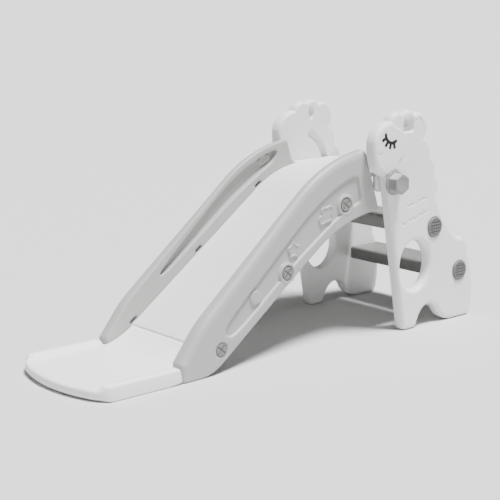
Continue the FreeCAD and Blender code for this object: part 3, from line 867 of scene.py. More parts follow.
def grid_tree() -> bpy.types.NodeTree:
    """Make the tree that lays a grid of low studs on a flat top.

    Returns:
        The tree.
    """
    tree, given, output = geometry_tree("tread_studs", {
        "Length": ("NodeSocketFloat", 0.3), "Width": ("NodeSocketFloat", 0.1),
        "Rows": ("NodeSocketInt", 20), "Columns": ("NodeSocketInt", 6),
        "Radius": ("NodeSocketFloat", 0.003), "Rise": ("NodeSocketFloat", 0.2),
        "Centre": ("NodeSocketVector", (0, 0, 0)), "Finish": ("NodeSocketMaterial", None)})
    grid = add_node(tree, "GeometryNodeMeshGrid", {
        "Size X": given.outputs["Width"], "Size Y": given.outputs["Length"],
        "Vertices X": given.outputs["Columns"], "Vertices Y": given.outputs["Rows"]})
    stud = add_node(tree, "GeometryNodeMeshUVSphere", {"Segments": 12, "Rings": 6,
                                                       "Radius": given.outputs["Radius"]})
    squash = add_node(tree, "ShaderNodeCombineXYZ", {"X": 1.0, "Y": 1.0,
                                                     "Z": given.outputs["Rise"]})
    low = add_node(tree, "GeometryNodeTransform", {"Geometry": stud.outputs["Mesh"],
                                                   "Scale": squash.outputs["Vector"]})
    copies = add_node(tree, "GeometryNodeInstanceOnPoints", {
        "Points": grid.outputs["Mesh"], "Instance": low.outputs["Geometry"]})
    moved = add_node(tree, "GeometryNodeTransform", {
        "Geometry": copies.outputs["Instances"], "Translation": given.outputs["Centre"]})
    smooth = add_node(tree, "GeometryNodeSetShadeSmooth", {"Geometry": moved.outputs["Geometry"]})
    end_tree(tree, smooth.outputs["Geometry"], given.outputs["Finish"], output)
    return tree


def run_tree(tree: bpy.types.NodeTree, base: bpy.types.Mesh, name: str,
             values: dict[str, Any]) -> bpy.types.Mesh:
    """Run a tree on a mesh and keep the result as a plain mesh.

    Args:
        tree: The Geometry Nodes tree.
        base: The mesh given to it.
        name: Name of the result.
        values: Input name to value.

    Returns:
        The plain mesh.
    """
    holder = bpy.data.objects.new(f"{name}_holder", base)
    bpy.context.scene.collection.objects.link(holder)
    modifier = holder.modifiers.new(tree.name, "NODES")
    modifier.node_group = tree
    for item in tree.interface.items_tree:
        if item.item_type == "SOCKET" and item.in_out == "INPUT" and item.name in values:
            modifier[item.identifier] = values[item.name]
    bpy.context.view_layer.update()
    graph = bpy.context.evaluated_depsgraph_get()
    mesh = bpy.data.meshes.new_from_object(holder.evaluated_get(graph), depsgraph=graph)
    mesh.name = name
    bpy.data.objects.remove(holder)
    return mesh


def copies(name: str, pattern: bpy.types.Mesh, spots: list[Points], turns: list[tuple],
           slot: str) -> bpy.types.Mesh:
    """Copies of a pattern mesh on several spots, as one plain mesh.

    Args:
        name: Name of the result.
        pattern: The mesh to repeat, round its own origin, in metres.
        spots: Where each copy goes, in metres.
        turns: Each copy's turn about X, Y and Z, in radians.
        slot: The material slot of the copies.

    Returns:
        The plain mesh.
    """
    base = bpy.data.meshes.new(f"{name}_spots")
    base.from_pydata([tuple(s) for s in spots], [], [])
    base.attributes.new("turn", "FLOAT_VECTOR", "POINT")
    base.attributes["turn"].data.foreach_set("vector", [v for turn in turns for v in turn])
    master = bpy.data.objects.new(f"{name}_pattern", pattern)
    bpy.context.scene.collection.objects.link(master)
    mesh = run_tree(TREES["copies"], base, name, {"Pattern": master,
                                                  "Finish": MATERIALS[slot]})
    bpy.data.objects.remove(master)
    return mesh


TREES = {"copies": pattern_tree(), "grid": grid_tree()}


# ------------------------------------------------------------------ side panels
@dataclass
class SidePanel:
    """An animal-shaped side panel, blow moulded, with its relief on both faces."""

    outer_round: float = 13.0
    inner_round: float = 9.0
    wool_sunk: float = 3.0
    wool_wall: float = 8.0
    wool_spare: float = 40.0
    face_wall: float = 3.4
    smile_line: tuple[float, float] = (5.0, 2.2)
    crease_line: tuple[float, float] = (5.5, 1.8)
    curl_line: tuple[float, float] = (5.5, 3.0)
    curl_span: tuple[float, float] = (205.0, 335.0)
    curl_flat: float = 0.7
    pocket_width: tuple[float, float] = (35.0, 45.0)
    pocket_deep: float = 15.0
    pocket_wall: float = 5.0
    hole_shift: float = 4.0
    hole_radius: float = 10.0
    hole_deep: float = 8.0
    hole_wall: float = 4.0
    seat_width: tuple[float, float] = (55.0, 65.0)
    seat_gap: float = 0.4
    seat_deep: float = 7.5
    seat_wall: float = 1.2
    window_least: float = 100.0
    groove_half: float = 11.5
    groove_deep: float = 11.0
    groove_wall: float = 2.0
    groove_radius: float = 113.5
    groove_span: tuple[float, float] = (-1.5, 61.5)
    face: list = field(default_factory=lambda: [
        (-64, 496), (-48, 485), (-33, 478), (-16, 482), (2, 491), (17, 487), (18, 503),
        (21, 514), (41, 529), (46, 545), (54, 562), (53, 580), (41, 593), (29, 605),
        (12, 609), (-4, 621), (-14, 645), (-110, 660), (-120, 480)])
    smile: list = field(default_factory=lambda: [(-72, 549), (-62, 541), (-50, 538), (-43, 544)])
    curls: list = field(default_factory=lambda: [
        (70, 382, 9), (88, 384, 9), (117, 392, 8), (133, 395, 8), (50, 332, 12),
        (77, 339, 10), (97, 342, 10), (123, 350, 9), (141, 354, 9)])
    creases: list = field(default_factory=lambda: [
        [(42, 652), (46, 640), (44, 626)], [(91, 646), (88, 634), (92, 624)],
        [(92, 624), (108, 632), (121, 620), (127, 600), (124, 576)],
        [(288, 253), (302, 247), (314, 236), (318, 224)]])
    dimple: tuple[float, float, float] = (56, 620, 14)
    dimple_narrow: float = 0.8
    dimple_point: float = 5.0
    dimple_deep: float = 10.0
    dimple_wall: float = 4.0

    def curl(self, x: float, z: float, half: float) -> Stroke:
        """Draw a shallow scallop stroke of the wool.

        Args:
            x: X of the scallop's middle.
            z: Z of its middle.
            half: Half its width.

        Returns:
            The stroke.
        """
        turn = np.radians(np.linspace(*self.curl_span, 12))
        path = np.column_stack([x + half * np.cos(turn),
                                z + half * self.curl_flat * np.sin(turn)])
        return Stroke(path, *self.curl_line)

    def outer_relief(self, outline: Points) -> list[Relief]:
        """Make the relief of the outer face: the wool let in round the face, and strokes.

        Args:
            outline: The panel's outline.

        Returns:
            The sinks and strokes.
        """
        low, high = outline.min(axis=0) - self.wool_spare, outline.max(axis=0) + self.wool_spare
        border = np.array([low, (high[0], low[1]), high, (low[0], high[1])])
        relief: list[Relief] = [Sink(border, self.wool_sunk, self.wool_wall),
                                Sink(soften(self.face, 2), -self.wool_sunk, self.face_wall),
                                Stroke(soften(self.smile, 2, False), *self.smile_line)]
        relief += [Stroke(soften(path, 2, False), *self.crease_line) for path in self.creases]
        relief += [self.curl(*spot) for spot in self.curls]
        return relief

    def pockets(self, holes: list[Points]) -> list[Relief]:
        """Make the head's square pocket and the seats of the step bolts.

        Args:
            holes: The loops in the panel's outer face, its outline left out.

        Returns:
            The sinks.
        """
        found: list[Relief] = []
        for loop in holes:
            width = np.ptp(loop, axis=0)[0]
            x, z = (loop.max(axis=0) + loop.min(axis=0)) / 2
            if self.pocket_width[0] < width < self.pocket_width[1]:
                found.append(Sink(loop, self.pocket_deep, self.pocket_wall))
                hole = circle(x + self.hole_shift, z + self.hole_shift, self.hole_radius)
                found.append(Sink(hole, self.hole_deep, self.hole_wall))
            elif self.seat_width[0] < width < self.seat_width[1]:
                found.append(Sink(circle(x, z, width / 2 + self.seat_gap), self.seat_deep,
                                  self.seat_wall))
        return found

    def groove(self) -> Points:
        """Draw the arc groove that the guide peg runs in.

        Returns:
            Its outline.
        """
        low, high = (math.radians(a) for a in self.groove_span)
        turn = np.linspace(low, high, 40)
        end = np.linspace(0, math.pi, 10)[1:-1]
        half, mid = self.groove_half, self.groove_radius

        def spot(radius: np.ndarray, angle: np.ndarray) -> Points:
            """Points at radii and angles round the hinge axis."""
            return np.column_stack([radius * np.cos(angle), HINGE.z + radius * np.sin(angle)])

        outer = spot(np.full(len(turn), mid + half), turn)
        inner = spot(np.full(len(turn), mid - half), turn[::-1])
        top = spot(mid + half * np.cos(end), high + half / mid * np.sin(end))
        foot = spot(mid - half * np.cos(end), low - half / mid * np.sin(end))
        return np.vstack([outer, top, inner, foot])

    def build(self) -> None:
        """Make both panels and show them in place of the frame's nodes."""
        low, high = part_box("side_panel_left")
        inner, outer = low[1] / MM, high[1] / MM
        loops = node_loops("side_panel_left", outer)
        window = next(loop for loop in loops[1:] if np.ptp(loop, axis=0)[0] > self.window_least)
        x, z, half = self.dimple
        turn = np.linspace(0, 2 * math.pi, 40, endpoint=False)
        drop = np.column_stack([
            x + half * np.cos(turn) * self.dimple_narrow,
            z + half * np.sin(turn) + self.dimple_point * np.sin(turn) ** 3])
        skin = Skin(
            [loops[0], window], at_height(outer), at_height(inner),
            Rounding(self.outer_round, self.outer_round),
            Rounding(self.inner_round, self.inner_round), upright,
            self.outer_relief(loops[0]) + self.pockets(loops[1:]),
            [Sink(self.groove(), self.groove_deep, self.groove_wall),
             Sink(drop, self.dimple_deep, self.dimple_wall)],
            pitch=7.0, rim_gap=2.6)
        mesh = skin.mesh("side_panel_left_skin")
        piece("side_panel_left_skin", mesh, "ladder", "panel", ["side_panel_left"])
        piece("side_panel_right_skin", mirrored(mesh, "side_panel_right_skin"), "ladder",
              "panel", ["side_panel_right"])


# ------------------------------------------------------------------ rails
@dataclass
class Rail:
    """A chute rail: flared outwards at its foot, rounded outside and crisp inside."""

    flare: float = 16.0
    flare_start: float = -309.0
    crown_reach: float = 22.0
    crown_drop: float = 17.0
    edge_round: float = 6.0
    end_round: float = 2.5
    flare_eased: float = 0.45
    flare_even: float = 0.55
    slope: float = 36.0
    crown_from: float = 0.35
    crown_ease: float = 0.4
    end_from: float = 0.8
    inner_round: float = 6.0
    recess_deep: float = 7.0
    recess_wall: float = 5.0
    shape_rise: float = 4.5
    shape_wall: float = 2.6
    shape_rim: float = 4.0
    dish_deep: float = 2.4
    dish_wall: float = 3.0
    ring_radius: float = 25.5
    ring_line: tuple[float, float] = (9.0, -1.6)
    seat_radius: float = 20.3
    seat_deep: float = 5.0
    seat_wall: float = 1.6
    boss_radius: float = 31.5
    boss_fade: float = 3.0
    boss_hole: float = 21.0
    boss_rise: float = 0.6
    pocket_deep: float = 15.0
    pocket_wall: float = 6.0
    slots: tuple[float, ...] = (-659, -420, -189)
    slot_lift: float = 4.0
    slot_half: float = 14.0
    slot_under: float = 5.0
    slot_over: float = 4.0
    slot_deep: float = 18.0
    slot_wall: float = 1.6
    recess: list = field(default_factory=lambda: [
        (-606, 112), (-588, 140), (-510, 206), (-408, 290), (-304, 378), (-254, 414),
        (-204, 444), (-154, 469), (-98, 483), (-96, 450), (-84, 404), (-110, 396),
        (-170, 373), (-254, 318), (-343, 259), (-408, 213), (-510, 136), (-574, 95),
        (-596, 98)])
    pocket: list = field(default_factory=lambda: [
        (-566, 209), (-454, 309), (-354, 397), (-304, 437), (-254, 470), (-204, 494),
        (-154, 514), (-112, 524), (-118, 504), (-134, 486), (-204, 447), (-254, 415),
        (-304, 382), (-354, 345), (-454, 272), (-552, 200)])
    disc: tuple[float, float, float] = (-490, 187, 20)
    star: tuple[float, float, float] = (-346, 298, 22)
    cloud: tuple[float, float, float] = (-221, 378, 30)
    cloud_lobes: tuple[tuple[float, float, float], ...] = (
        (0.0, 0, 0.62), (0.62, 50, 0.46), (0.5, 115, 0.42), (0.6, 215, 0.46), (0.42, -30, 0.4))
    block: tuple[float, float, float, float] = (-157, 497, 23, 13)
    block_tilt: float = 14.0
    block_rise: float = 6.0
    block_wall: float = 3.0
    rib_gap: float = 9.0
    rib_share: float = 0.6
    rib_line: tuple[float, float] = (5.0, 2.0)
    star_turn: float = 20.0
    star_tip: float = 1.3
    star_notch: float = 0.7

    def outer_plane(self, points: Points, narrow: float) -> np.ndarray:
        """Work out the flared outer face over the rail's outline.

        Args:
            points: Points of the face, in X and Z.
            narrow: The face's Y where the rail isn't flared.

        Returns:
            The face's Y at each point.
        """
        low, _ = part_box("rail_left")
        foot = low[0] / MM - HINGE.x
        along = (self.flare_start - points[:, 0]) / (self.flare_start - foot)
        share = smooth_step(along) * self.flare_eased
        share += self.flare_even * np.clip(along, 0, 1)
        return narrow + self.flare * share

    def star_loop(self) -> Points:
        """Draw the five-pointed star.

        Returns:
            Its outline.
        """
        x, z, radius = self.star
        turn = math.radians(self.star_turn) + np.arange(10) * math.pi / 5
        reach = np.where(np.arange(10) % 2 == 0, radius * self.star_tip,
                         radius * self.star_notch)
        spots = np.column_stack([x + reach * np.cos(turn), z + reach * np.sin(turn)])
        return soften([tuple(s) for s in spots], 2)

    def cloud_loop(self) -> Points:
        """Draw the cloud: the outer edge of a few round lobes about its middle.

        Returns:
            Its outline.
        """
        x, z, radius = self.cloud
        turn = np.linspace(0, 2 * math.pi, 90, endpoint=False)
        reach = np.zeros(len(turn))
        for away, bearing, lobe in self.cloud_lobes:
            off = turn - math.radians(bearing)
            spare = np.maximum(lobe ** 2 - (away * np.sin(off)) ** 2, 0)
            hit = (spare > 0) & (away * np.cos(off) > -lobe)
            edge = away * np.cos(off) + np.sqrt(spare)
            reach = np.where(hit, np.maximum(reach, edge), reach)
        return np.column_stack([x + radius * reach * np.cos(turn),
                                z + radius * reach * np.sin(turn)])

    def outer_relief(self) -> list[Relief]:
        """Make the recess, its raised shapes and the seats round the screws.

        Returns:
            The sinks and strokes.
        """
        relief: list[Relief] = [Sink(soften(self.recess, 2), self.recess_deep, self.recess_wall)]
        relief.append(Sink(circle(*self.disc), -self.shape_rise, self.shape_wall))
        for loop in (self.star_loop(), self.cloud_loop()):
            relief.append(Sink(loop, -self.shape_rise, self.shape_wall))
            relief.append(Sink(self.shrunk(loop, self.shape_rim), self.dish_deep, self.dish_wall))
        for name, boss in (("foot", False), ("mid", True), ("top", True)):
            x, _, z = centre(f"rail_screw_{name}_left")
            if boss:
                relief.append(Stroke(closing(circle(x, z, self.ring_radius)), *self.ring_line))
            relief.append(Sink(circle(x, z, self.seat_radius), self.seat_deep, self.seat_wall))
        return relief

    @staticmethod
    def shrunk(loop: Points, by: float) -> Points:
        """A loop moved inwards by a distance."""
        ring = loop if area(loop) > 0 else loop[::-1]
        return ring + normals(ring) * by

    def inner_relief(self) -> list[Relief]:
        """Make the long inner pocket, its block and the block's ribs.

        Returns:
            The sinks and strokes.
        """
        x, z, half, high = self.block
        tilt = math.radians(self.block_tilt)
        ways = np.array([(math.cos(tilt), math.sin(tilt)), (-math.sin(tilt), math.cos(tilt))])
        corners = [(-half, -high), (half, -high), (half, high), (-half, high)]
        pad = [tuple(np.array([x, z]) + a * ways[0] + b * ways[1]) for a, b in corners]
        relief: list[Relief] = [Sink(soften(self.pocket, 2), self.pocket_deep, self.pocket_wall),
                                Sink(soften(pad, 2), -self.block_rise, self.block_wall)]
        relief += [self.slot(at) for at in self.slots]
        end = high * self.rib_share
        for k in (-1, 0, 1):
            line = np.array([np.array([x, z]) + (k * self.rib_gap) * ways[0] + s * ways[1]
                             for s in (-end, 0, end)])
            relief.append(Stroke(line, *self.rib_line))
        return relief

    def slot(self, run_x: float) -> Sink:
        """Make a short dark slot along the bed's edge, for the bed's locating tab.

        Args:
            run_x: X of the slot's middle.

        Returns:
            The slot.
        """
        x, z, tilt = RAMP.upper(np.array([RAMP.run_up_to(run_x)]))
        way = np.array([math.cos(tilt[0]), math.sin(tilt[0])])
        side = np.array([-way[1], way[0]])
        middle = np.array([x[0], z[0]]) + side * self.slot_lift
        half, under, over = self.slot_half, self.slot_under, self.slot_over
        corners = [middle + way * a + side * b
                   for a, b in ((-half, -under), (half, -under), (half, over), (-half, over))]
        return Sink(soften([tuple(c) for c in corners], 1), self.slot_deep, self.slot_wall)

    def edge(self, outward: Points, full: float) -> np.ndarray:
        """Work out the outer edge's rounding: crisp at the upper end and full on top.

        Args:
            outward: The rim's outward normal at each point.
            full: The rounding where the edge faces up.

        Returns:
            The rounding at each point.
        """
        slope = math.radians(self.slope)
        upward = np.array([-math.sin(slope), math.cos(slope)])
        share = smooth_step((outward @ upward - self.crown_from) / self.crown_ease)
        end = np.where(outward[:, 0] > self.end_from, self.end_round, self.edge_round)
        return end + (full - end) * share

    def boss_lift(self, points: Points, height: np.ndarray, plane: np.ndarray) -> np.ndarray:
        """Bring the face back up to the rail's outside round the two upper screws.

        Args:
            points: Points of the face, in X and Z.
            height: The relieved face's Y at each.
            plane: The plain face's Y at each.

        Returns:
            The lifted face's Y at each.
        """
        for name in ("mid", "top"):
            x, _, z = centre(f"rail_screw_{name}_left")
            far = np.hypot(points[:, 0] - x, points[:, 1] - z)
            mask = smooth_step((self.boss_radius - far) / self.boss_fade)
            mask = mask * smooth_step(far - self.boss_hole)
            height = height * (1 - mask) + np.maximum(height, plane + self.boss_rise) * mask
        return height

    def build(self) -> None:
        """Make both rails and show them in place of the frame's nodes."""
        low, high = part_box("rail_left")
        inner, narrow = low[1] / MM, high[1] / MM - self.flare
        outline = node_loops("rail_left", inner)[0]

        def plane(points: Points) -> np.ndarray:
            """The flared outer face's Y at each point."""
            return self.outer_plane(points, narrow)

        skin = Skin([outline], plane, at_height(inner),
                    Rounding(lambda outward: self.edge(outward, self.crown_reach),
                             lambda outward: self.edge(outward, self.crown_drop)),
                    Rounding(self.inner_round, self.inner_round), upright,
                    self.outer_relief(), self.inner_relief(), pitch=8.0, rim_gap=3.0,
                    shape_front=lambda p, h: self.boss_lift(p, h, plane(p)))
        mesh = skin.mesh("rail_left_skin")
        piece("rail_left_skin", mesh, "chute", "rail", ["rail_left"])
        piece("rail_right_skin", mirrored(mesh, "rail_right_skin"), "chute", "rail",
              ["rail_right"])


# ------------------------------------------------------------------ sliding surface
@dataclass
class Ramp:
    """The line that the sliding surface follows, from the seam up to the platform."""

    angle: float = math.radians(35.8)
    crest_ahead: float = 115.0
    crest_radius: float = 310.0
    seam_height: float = 78.0
    runout_top: float = 32.0
    runout_bend: float = 236.0

    def __post_init__(self) -> None:
        """Work out where the straight ramp, its crest and its foot begin and end."""
        _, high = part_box("chute_bed")
        self.top = high[2] / MM
        slope = math.tan(self.angle)
        self.seam_x = -self.crest_ahead - (self.top - self.seam_height) / slope
        self.foot_x = -self.crest_ahead - (self.top - self.runout_top) / slope
        crest_run = self.crest_radius * math.tan(self.angle / 2)
        turn_x = -self.crest_ahead - crest_run * math.cos(self.angle)
        self.straight = (turn_x - self.seam_x) / math.cos(self.angle)
        foot_run = self.runout_bend * math.tan(self.angle / 2)
        start_x = self.foot_x + foot_run * math.cos(self.angle)
        self.lead = (self.seam_x - start_x) / math.cos(self.angle)
        self.flat_x = self.foot_x - foot_run

    def upper(self, run: np.ndarray) -> tuple[np.ndarray, np.ndarray, np.ndarray]:
        """Place and tilt of the bed at a run measured up from the seam.

        Args:
            run: Distances along the surface.

        Returns:
            X, Z and the tilt of the surface at each.
        """
        over = np.clip(run - self.straight, 0, self.crest_radius * self.angle)
        tilt = self.angle - over / self.crest_radius
        beyond = np.maximum(run - self.straight - self.crest_radius * self.angle, 0)
        along = np.minimum(run, self.straight)
        turn_x = self.seam_x + self.straight * math.cos(self.angle)
        turn_z = self.seam_height + self.straight * math.sin(self.angle)
        x = self.seam_x + along * math.cos(self.angle)
        z = self.seam_height + along * math.sin(self.angle)
        bent = run > self.straight
        arc_x = turn_x + self.crest_radius * (math.sin(self.angle) - np.sin(tilt)) + beyond
        arc_z = turn_z + self.crest_radius * (np.cos(tilt) - math.cos(self.angle))
        return np.where(bent, arc_x, x), np.where(bent, arc_z, z), np.where(bent, tilt, self.angle)

    def lower(self, run: np.ndarray) -> tuple[np.ndarray, np.ndarray, np.ndarray]:
        """Place and tilt of the run-out at a run measured down from the seam.

        Args:
            run: Distances along the surface.

        Returns:
            X, Z and the tilt of the surface at each.
        """
        over = np.clip(run - self.lead, 0, self.runout_bend * self.angle)
        tilt = self.angle - over / self.runout_bend
        beyond = np.maximum(run - self.lead - self.runout_bend * self.angle, 0)
        along = np.minimum(run, self.lead)
        start_x = self.seam_x - self.lead * math.cos(self.angle)
        start_z = self.seam_height - self.lead * math.sin(self.angle)
        x = self.seam_x - along * math.cos(self.angle)
        z = self.seam_height - along * math.sin(self.angle)
        bent = run > self.lead
        arc_x = start_x - self.runout_bend * (math.sin(self.angle) - np.sin(tilt)) - beyond
        arc_z = start_z - self.runout_bend * (np.cos(tilt) - math.cos(self.angle))
        return np.where(bent, arc_x, x), np.where(bent, arc_z, z), np.where(bent, tilt, self.angle)

    @staticmethod
    def laid(line: Callable[[np.ndarray], tuple]) -> Place:
        """Make the function that lays an outline along the sliding surface.

        Args:
            line: What gives X, Z and tilt at a run: upper or lower.

        Returns:
            A function of run and Y, and of height over the surface.
        """
        def place(flat: Points, height: np.ndarray) -> Points:
            """Place points by their run, Y and height over the surface."""
            x, z, tilt = line(flat[:, 0])
            return np.column_stack([x - height * np.sin(tilt), flat[:, 1],
                                    z + height * np.cos(tilt)])

        return place

    def run_up_to(self, x: float) -> float:
        """Run up from the seam at which the bed reaches x."""
        runs = np.linspace(0, 1200, 2401)
        return float(np.interp(x, self.upper(runs)[0], runs))

    def run_down_to(self, x: float) -> float:
        """Run down from the seam at which the run-out reaches x."""
        runs = np.linspace(-80, 700, 3121)
        return float(np.interp(-x, -self.lower(runs)[0], runs))


RAMP = Ramp()


@dataclass
class ChuteBed:
    """The sliding bed and its platform, with side skirts, cheeks and hinge hubs."""

    ramp: Ramp
    thick: float = 9.0
    half: float = 153.5
    skirt_high: float = 60.0
    skirt_start: float = 71.0
    skirt_thick: float = 10.0
    cheek_thick: float = 13.0
    cheek_high: float = 54.0
    cheek_cut: float = 12.0
    cheek_top: float = 5.0
    front: float = -31.0
    corner: float = 34.0
    shoulder: float = 12.0
    hub_radius: float = 22.0
    hub_proud: float = 1.5
    hub_bedded: float = 2.0
    skirt_top: float = 4.0
    plate_round: float = 2.0
    top_round: float = 4.0

    def plan(self) -> Points:
        """Draw the bed and platform, by run along the surface and Y.

        Returns:
            Their outline.
        """
        _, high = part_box("chute_bed")
        rear = self.ramp.run_up_to(high[0] / MM - HINGE.x)
        wide = high[1] / MM - self.hub_proud
        step = self.ramp.run_up_to(self.front)
        half = np.array([(0.0, self.half), (step, self.half)])
        turn = np.radians(np.linspace(90, 0, 10))
        bend = np.column_stack([rear - self.corner + self.corner * np.cos(turn),
                                wide - self.corner + self.corner * np.sin(turn)])
        small = np.radians(np.linspace(180, 90, 6))
        reach = self.shoulder
        shoulder = np.column_stack([step + reach + reach * np.cos(small),
                                    wide - reach + reach * np.sin(small)])
        left = np.vstack([half, shoulder, bend])
        return np.vstack([left, left[::-1] * [1, -1]])

    def side_plate(self, loop: Points, inner: float, outer: float, name: str) -> bpy.types.Mesh:
        """Make a plate over a side outline.

        Args:
            loop: The outline, in X and Z.
            inner: Y of its inner face.
            outer: Y of its outer face.
            name: Name of the mesh.

        Returns:
            The plate's mesh.
        """
        edge = Rounding(self.plate_round, self.plate_round)
        skin = Skin([loop], at_height(outer), at_height(inner), edge, edge, upright,
                    pitch=24.0, rim_gap=6.0)
        return skin.mesh(name)

    def plates(self) -> list[bpy.types.Mesh]:
        """Make the skirts under the ramp, the platform's cheeks and the hubs on them.

        Returns:
            The meshes of both sides.
        """
        runs = np.linspace(self.skirt_start, self.ramp.run_up_to(self.front), 50)
        x, z, tilt = self.ramp.upper(runs)
        upper = np.column_stack([x + self.skirt_top * np.sin(tilt),
                                 z - self.skirt_top * np.cos(tilt)])
        lower = np.column_stack([x + self.skirt_high * np.sin(tilt),
                                 z - self.skirt_high * np.cos(tilt)])
        loop = np.vstack([lower, upper[::-1]])
        skirt = self.side_plate(loop, self.half - self.skirt_thick, self.half, "skirt")
        _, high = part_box("chute_bed")
        rear, top = high[0] / MM - HINGE.x - self.corner, high[2] / MM
        wide = high[1] / MM - self.hub_proud
        foot, brow = top - self.cheek_high, top - self.cheek_top
        ahead, behind, cut = self.front + 1, rear - 2, self.cheek_cut
        corners = [(ahead, brow), (ahead, foot + cut), (self.front + cut, foot),
                   (behind - cut, foot), (behind, foot + cut), (behind, brow)]
        cheek = self.side_plate(np.array(corners, float), wide - self.cheek_thick, wide, "cheek")
        hub = self.side_plate(circle(0, HINGE.z, self.hub_radius, 3.0), wide - self.hub_bedded,
                              wide + self.hub_proud, "hub")
        left = [skirt, cheek, hub]
        return left + [mirrored(mesh, mesh.name) for mesh in left]

    def build(self) -> None:
        """Make the bed and show it in place of the frame's node."""
        skin = Skin([self.plan()], at_height(0.0), at_height(-self.thick),
                    Rounding(self.top_round, self.top_round),
                    Rounding(self.plate_round, self.plate_round),
                    self.ramp.laid(self.ramp.upper), pitch=11.0, rim_gap=4.0)
        mesh = joined("chute_bed_skin", [skin.mesh("bed_plate")] + self.plates())
        piece("chute_bed_skin", mesh, "chute", "bed", ["chute_bed"])


@dataclass
class RunOut:
    """The run-out tray: a bend between the rails, side lips and a bowed, undercut nose."""

    ramp: Ramp
    neck_thick: float = 36.0
    neck_half: float = 153.5
    shoulder_ahead: float = 27.0
    shoulder_cut: float = 3.0
    nose_bow: float = 45.0
    corner: float = 24.0
    lip_high: float = 12.5
    lip_foot: float = 34.0
    lip_slope: float = 11.0
    lip_end: float = 16.0
    lip_start: float = 6.0
    lip_past: float = 4.0
    tongue_sunk: float = 10.5
    tongue_ease: float = 1.5
    under_bed: float = 69.5
    side_round: float = 9.0
    top_round: float = 8.0
    side_from: float = 0.7
    under_round: float = 5.0
    nose_reach: float = 17.0
    nose_drop: float = 11.0
    nose_from: float = 0.3
    nose_ease: float = 0.5
    crease_half: float = 130.0
    crease_line: tuple[float, float] = (5.0, 1.0)

    def __post_init__(self) -> None:
        """Work out the tray's half width and the runs at which its parts begin."""
        low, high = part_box("run_out")
        self.half = high[1] / MM
        self.deep = self.ramp.runout_top
        self.nose = self.ramp.run_down_to(low[0] / MM - HINGE.x)
        self.flat_run = self.ramp.run_down_to(self.ramp.flat_x)
        self.shoulder = self.ramp.run_down_to(self.ramp.foot_x - self.shoulder_ahead)

    def plan(self) -> Points:
        """Draw the tray, by run down from the seam and Y.

        Returns:
            Its outline.
        """
        half, nose, shoulder = self.half, self.nose, self.shoulder
        bow = nose - self.nose_bow
        radius = (half ** 2 + self.nose_bow ** 2) / (2 * self.nose_bow)
        side = np.array([(-self.under_bed, self.neck_half), (shoulder, self.neck_half),
                         (shoulder, half - self.shoulder_cut),
                         (shoulder + self.shoulder_cut, half)])
        count, meet = 80, 9
        arc = np.linspace(half, -half, count)
        front = np.column_stack([nose - radius + np.sqrt(radius ** 2 - arc ** 2), arc])
        turn = np.linspace(0, 1, 14)[:, None]
        start, end = np.array([bow - self.corner, half]), front[meet]
        middle = np.array([bow - 2, half - 1])
        bend = (1 - turn) ** 2 * start + 2 * turn * (1 - turn) * middle + turn ** 2 * end
        near = np.vstack([side, bend, front[meet + 1:count // 2]])
        return np.vstack([near, near[::-1] * [1, -1]])

    def bedding(self, run: np.ndarray) -> np.ndarray:
        """How far the tongue is let in under the bed at each run."""
        return self.tongue_sunk * smooth_step((self.tongue_ease - run) / self.tongue_ease)

    def top(self, points: Points) -> np.ndarray:
        """Work out the tray's top: a lip along each side, and the tongue under the bed.

        Args:
            points: Points of the face, by run and Y.

        Returns:
            The height over the surface at each.
        """
        run, across = points[:, 0], np.abs(points[:, 1])
        rise = smooth_step((across - (self.half - self.lip_foot)) / self.lip_slope)
        start = smooth_step((run - self.shoulder + self.lip_start) / self.lip_start)
        fade = smooth_step((self.nose - self.nose_bow + self.lip_past - run) / self.lip_end)
        _, z, _ = self.ramp.lower(run)
        lip = np.maximum(self.lip_high + self.deep - z, 0) * rise * start * fade
        return lip - self.bedding(run)

    def under(self, points: Points) -> np.ndarray:
        """Work out the tray's underside.

        Args:
            points: Points of the face, by run and Y.

        Returns:
            The height over the surface at each, a negative number.
        """
        run = points[:, 0]
        share = smooth_step((run - self.ramp.lead) / (self.flat_run - self.ramp.lead))
        thick = self.neck_thick + (self.deep - self.neck_thick) * share
        return -thick - self.bedding(run)

    def top_edge(self, outward: Points) -> np.ndarray:
        """Rounding of the top edge at points with these outward normals."""
        return np.where(np.abs(outward[:, 1]) > self.side_from, self.side_round, self.top_round)

    def under_edge(self, outward: Points, extra: float) -> np.ndarray:
        """Rounding of the under edge, with something extra where it faces the exit."""
        share = smooth_step((outward[:, 0] - self.nose_from) / self.nose_ease)
        return self.under_round + extra * share

    def build(self) -> None:
        """Make the tray and show it in place of the frame's node."""
        crease = Stroke(np.array([(self.flat_run, -self.crease_half), (self.flat_run, 0),
                                  (self.flat_run, self.crease_half)]), *self.crease_line)
        skin = Skin([self.plan()], self.top, self.under, Rounding(self.top_edge, self.top_edge),
                    Rounding(lambda outward: self.under_edge(outward, self.nose_reach),
                             lambda outward: self.under_edge(outward, self.nose_drop)),
                    self.ramp.laid(self.ramp.lower), [crease], pitch=7.0, rim_gap=3.0)
        mesh = skin.mesh("run_out_skin")
        piece("run_out_skin", mesh, "chute", "runout", ["run_out"])


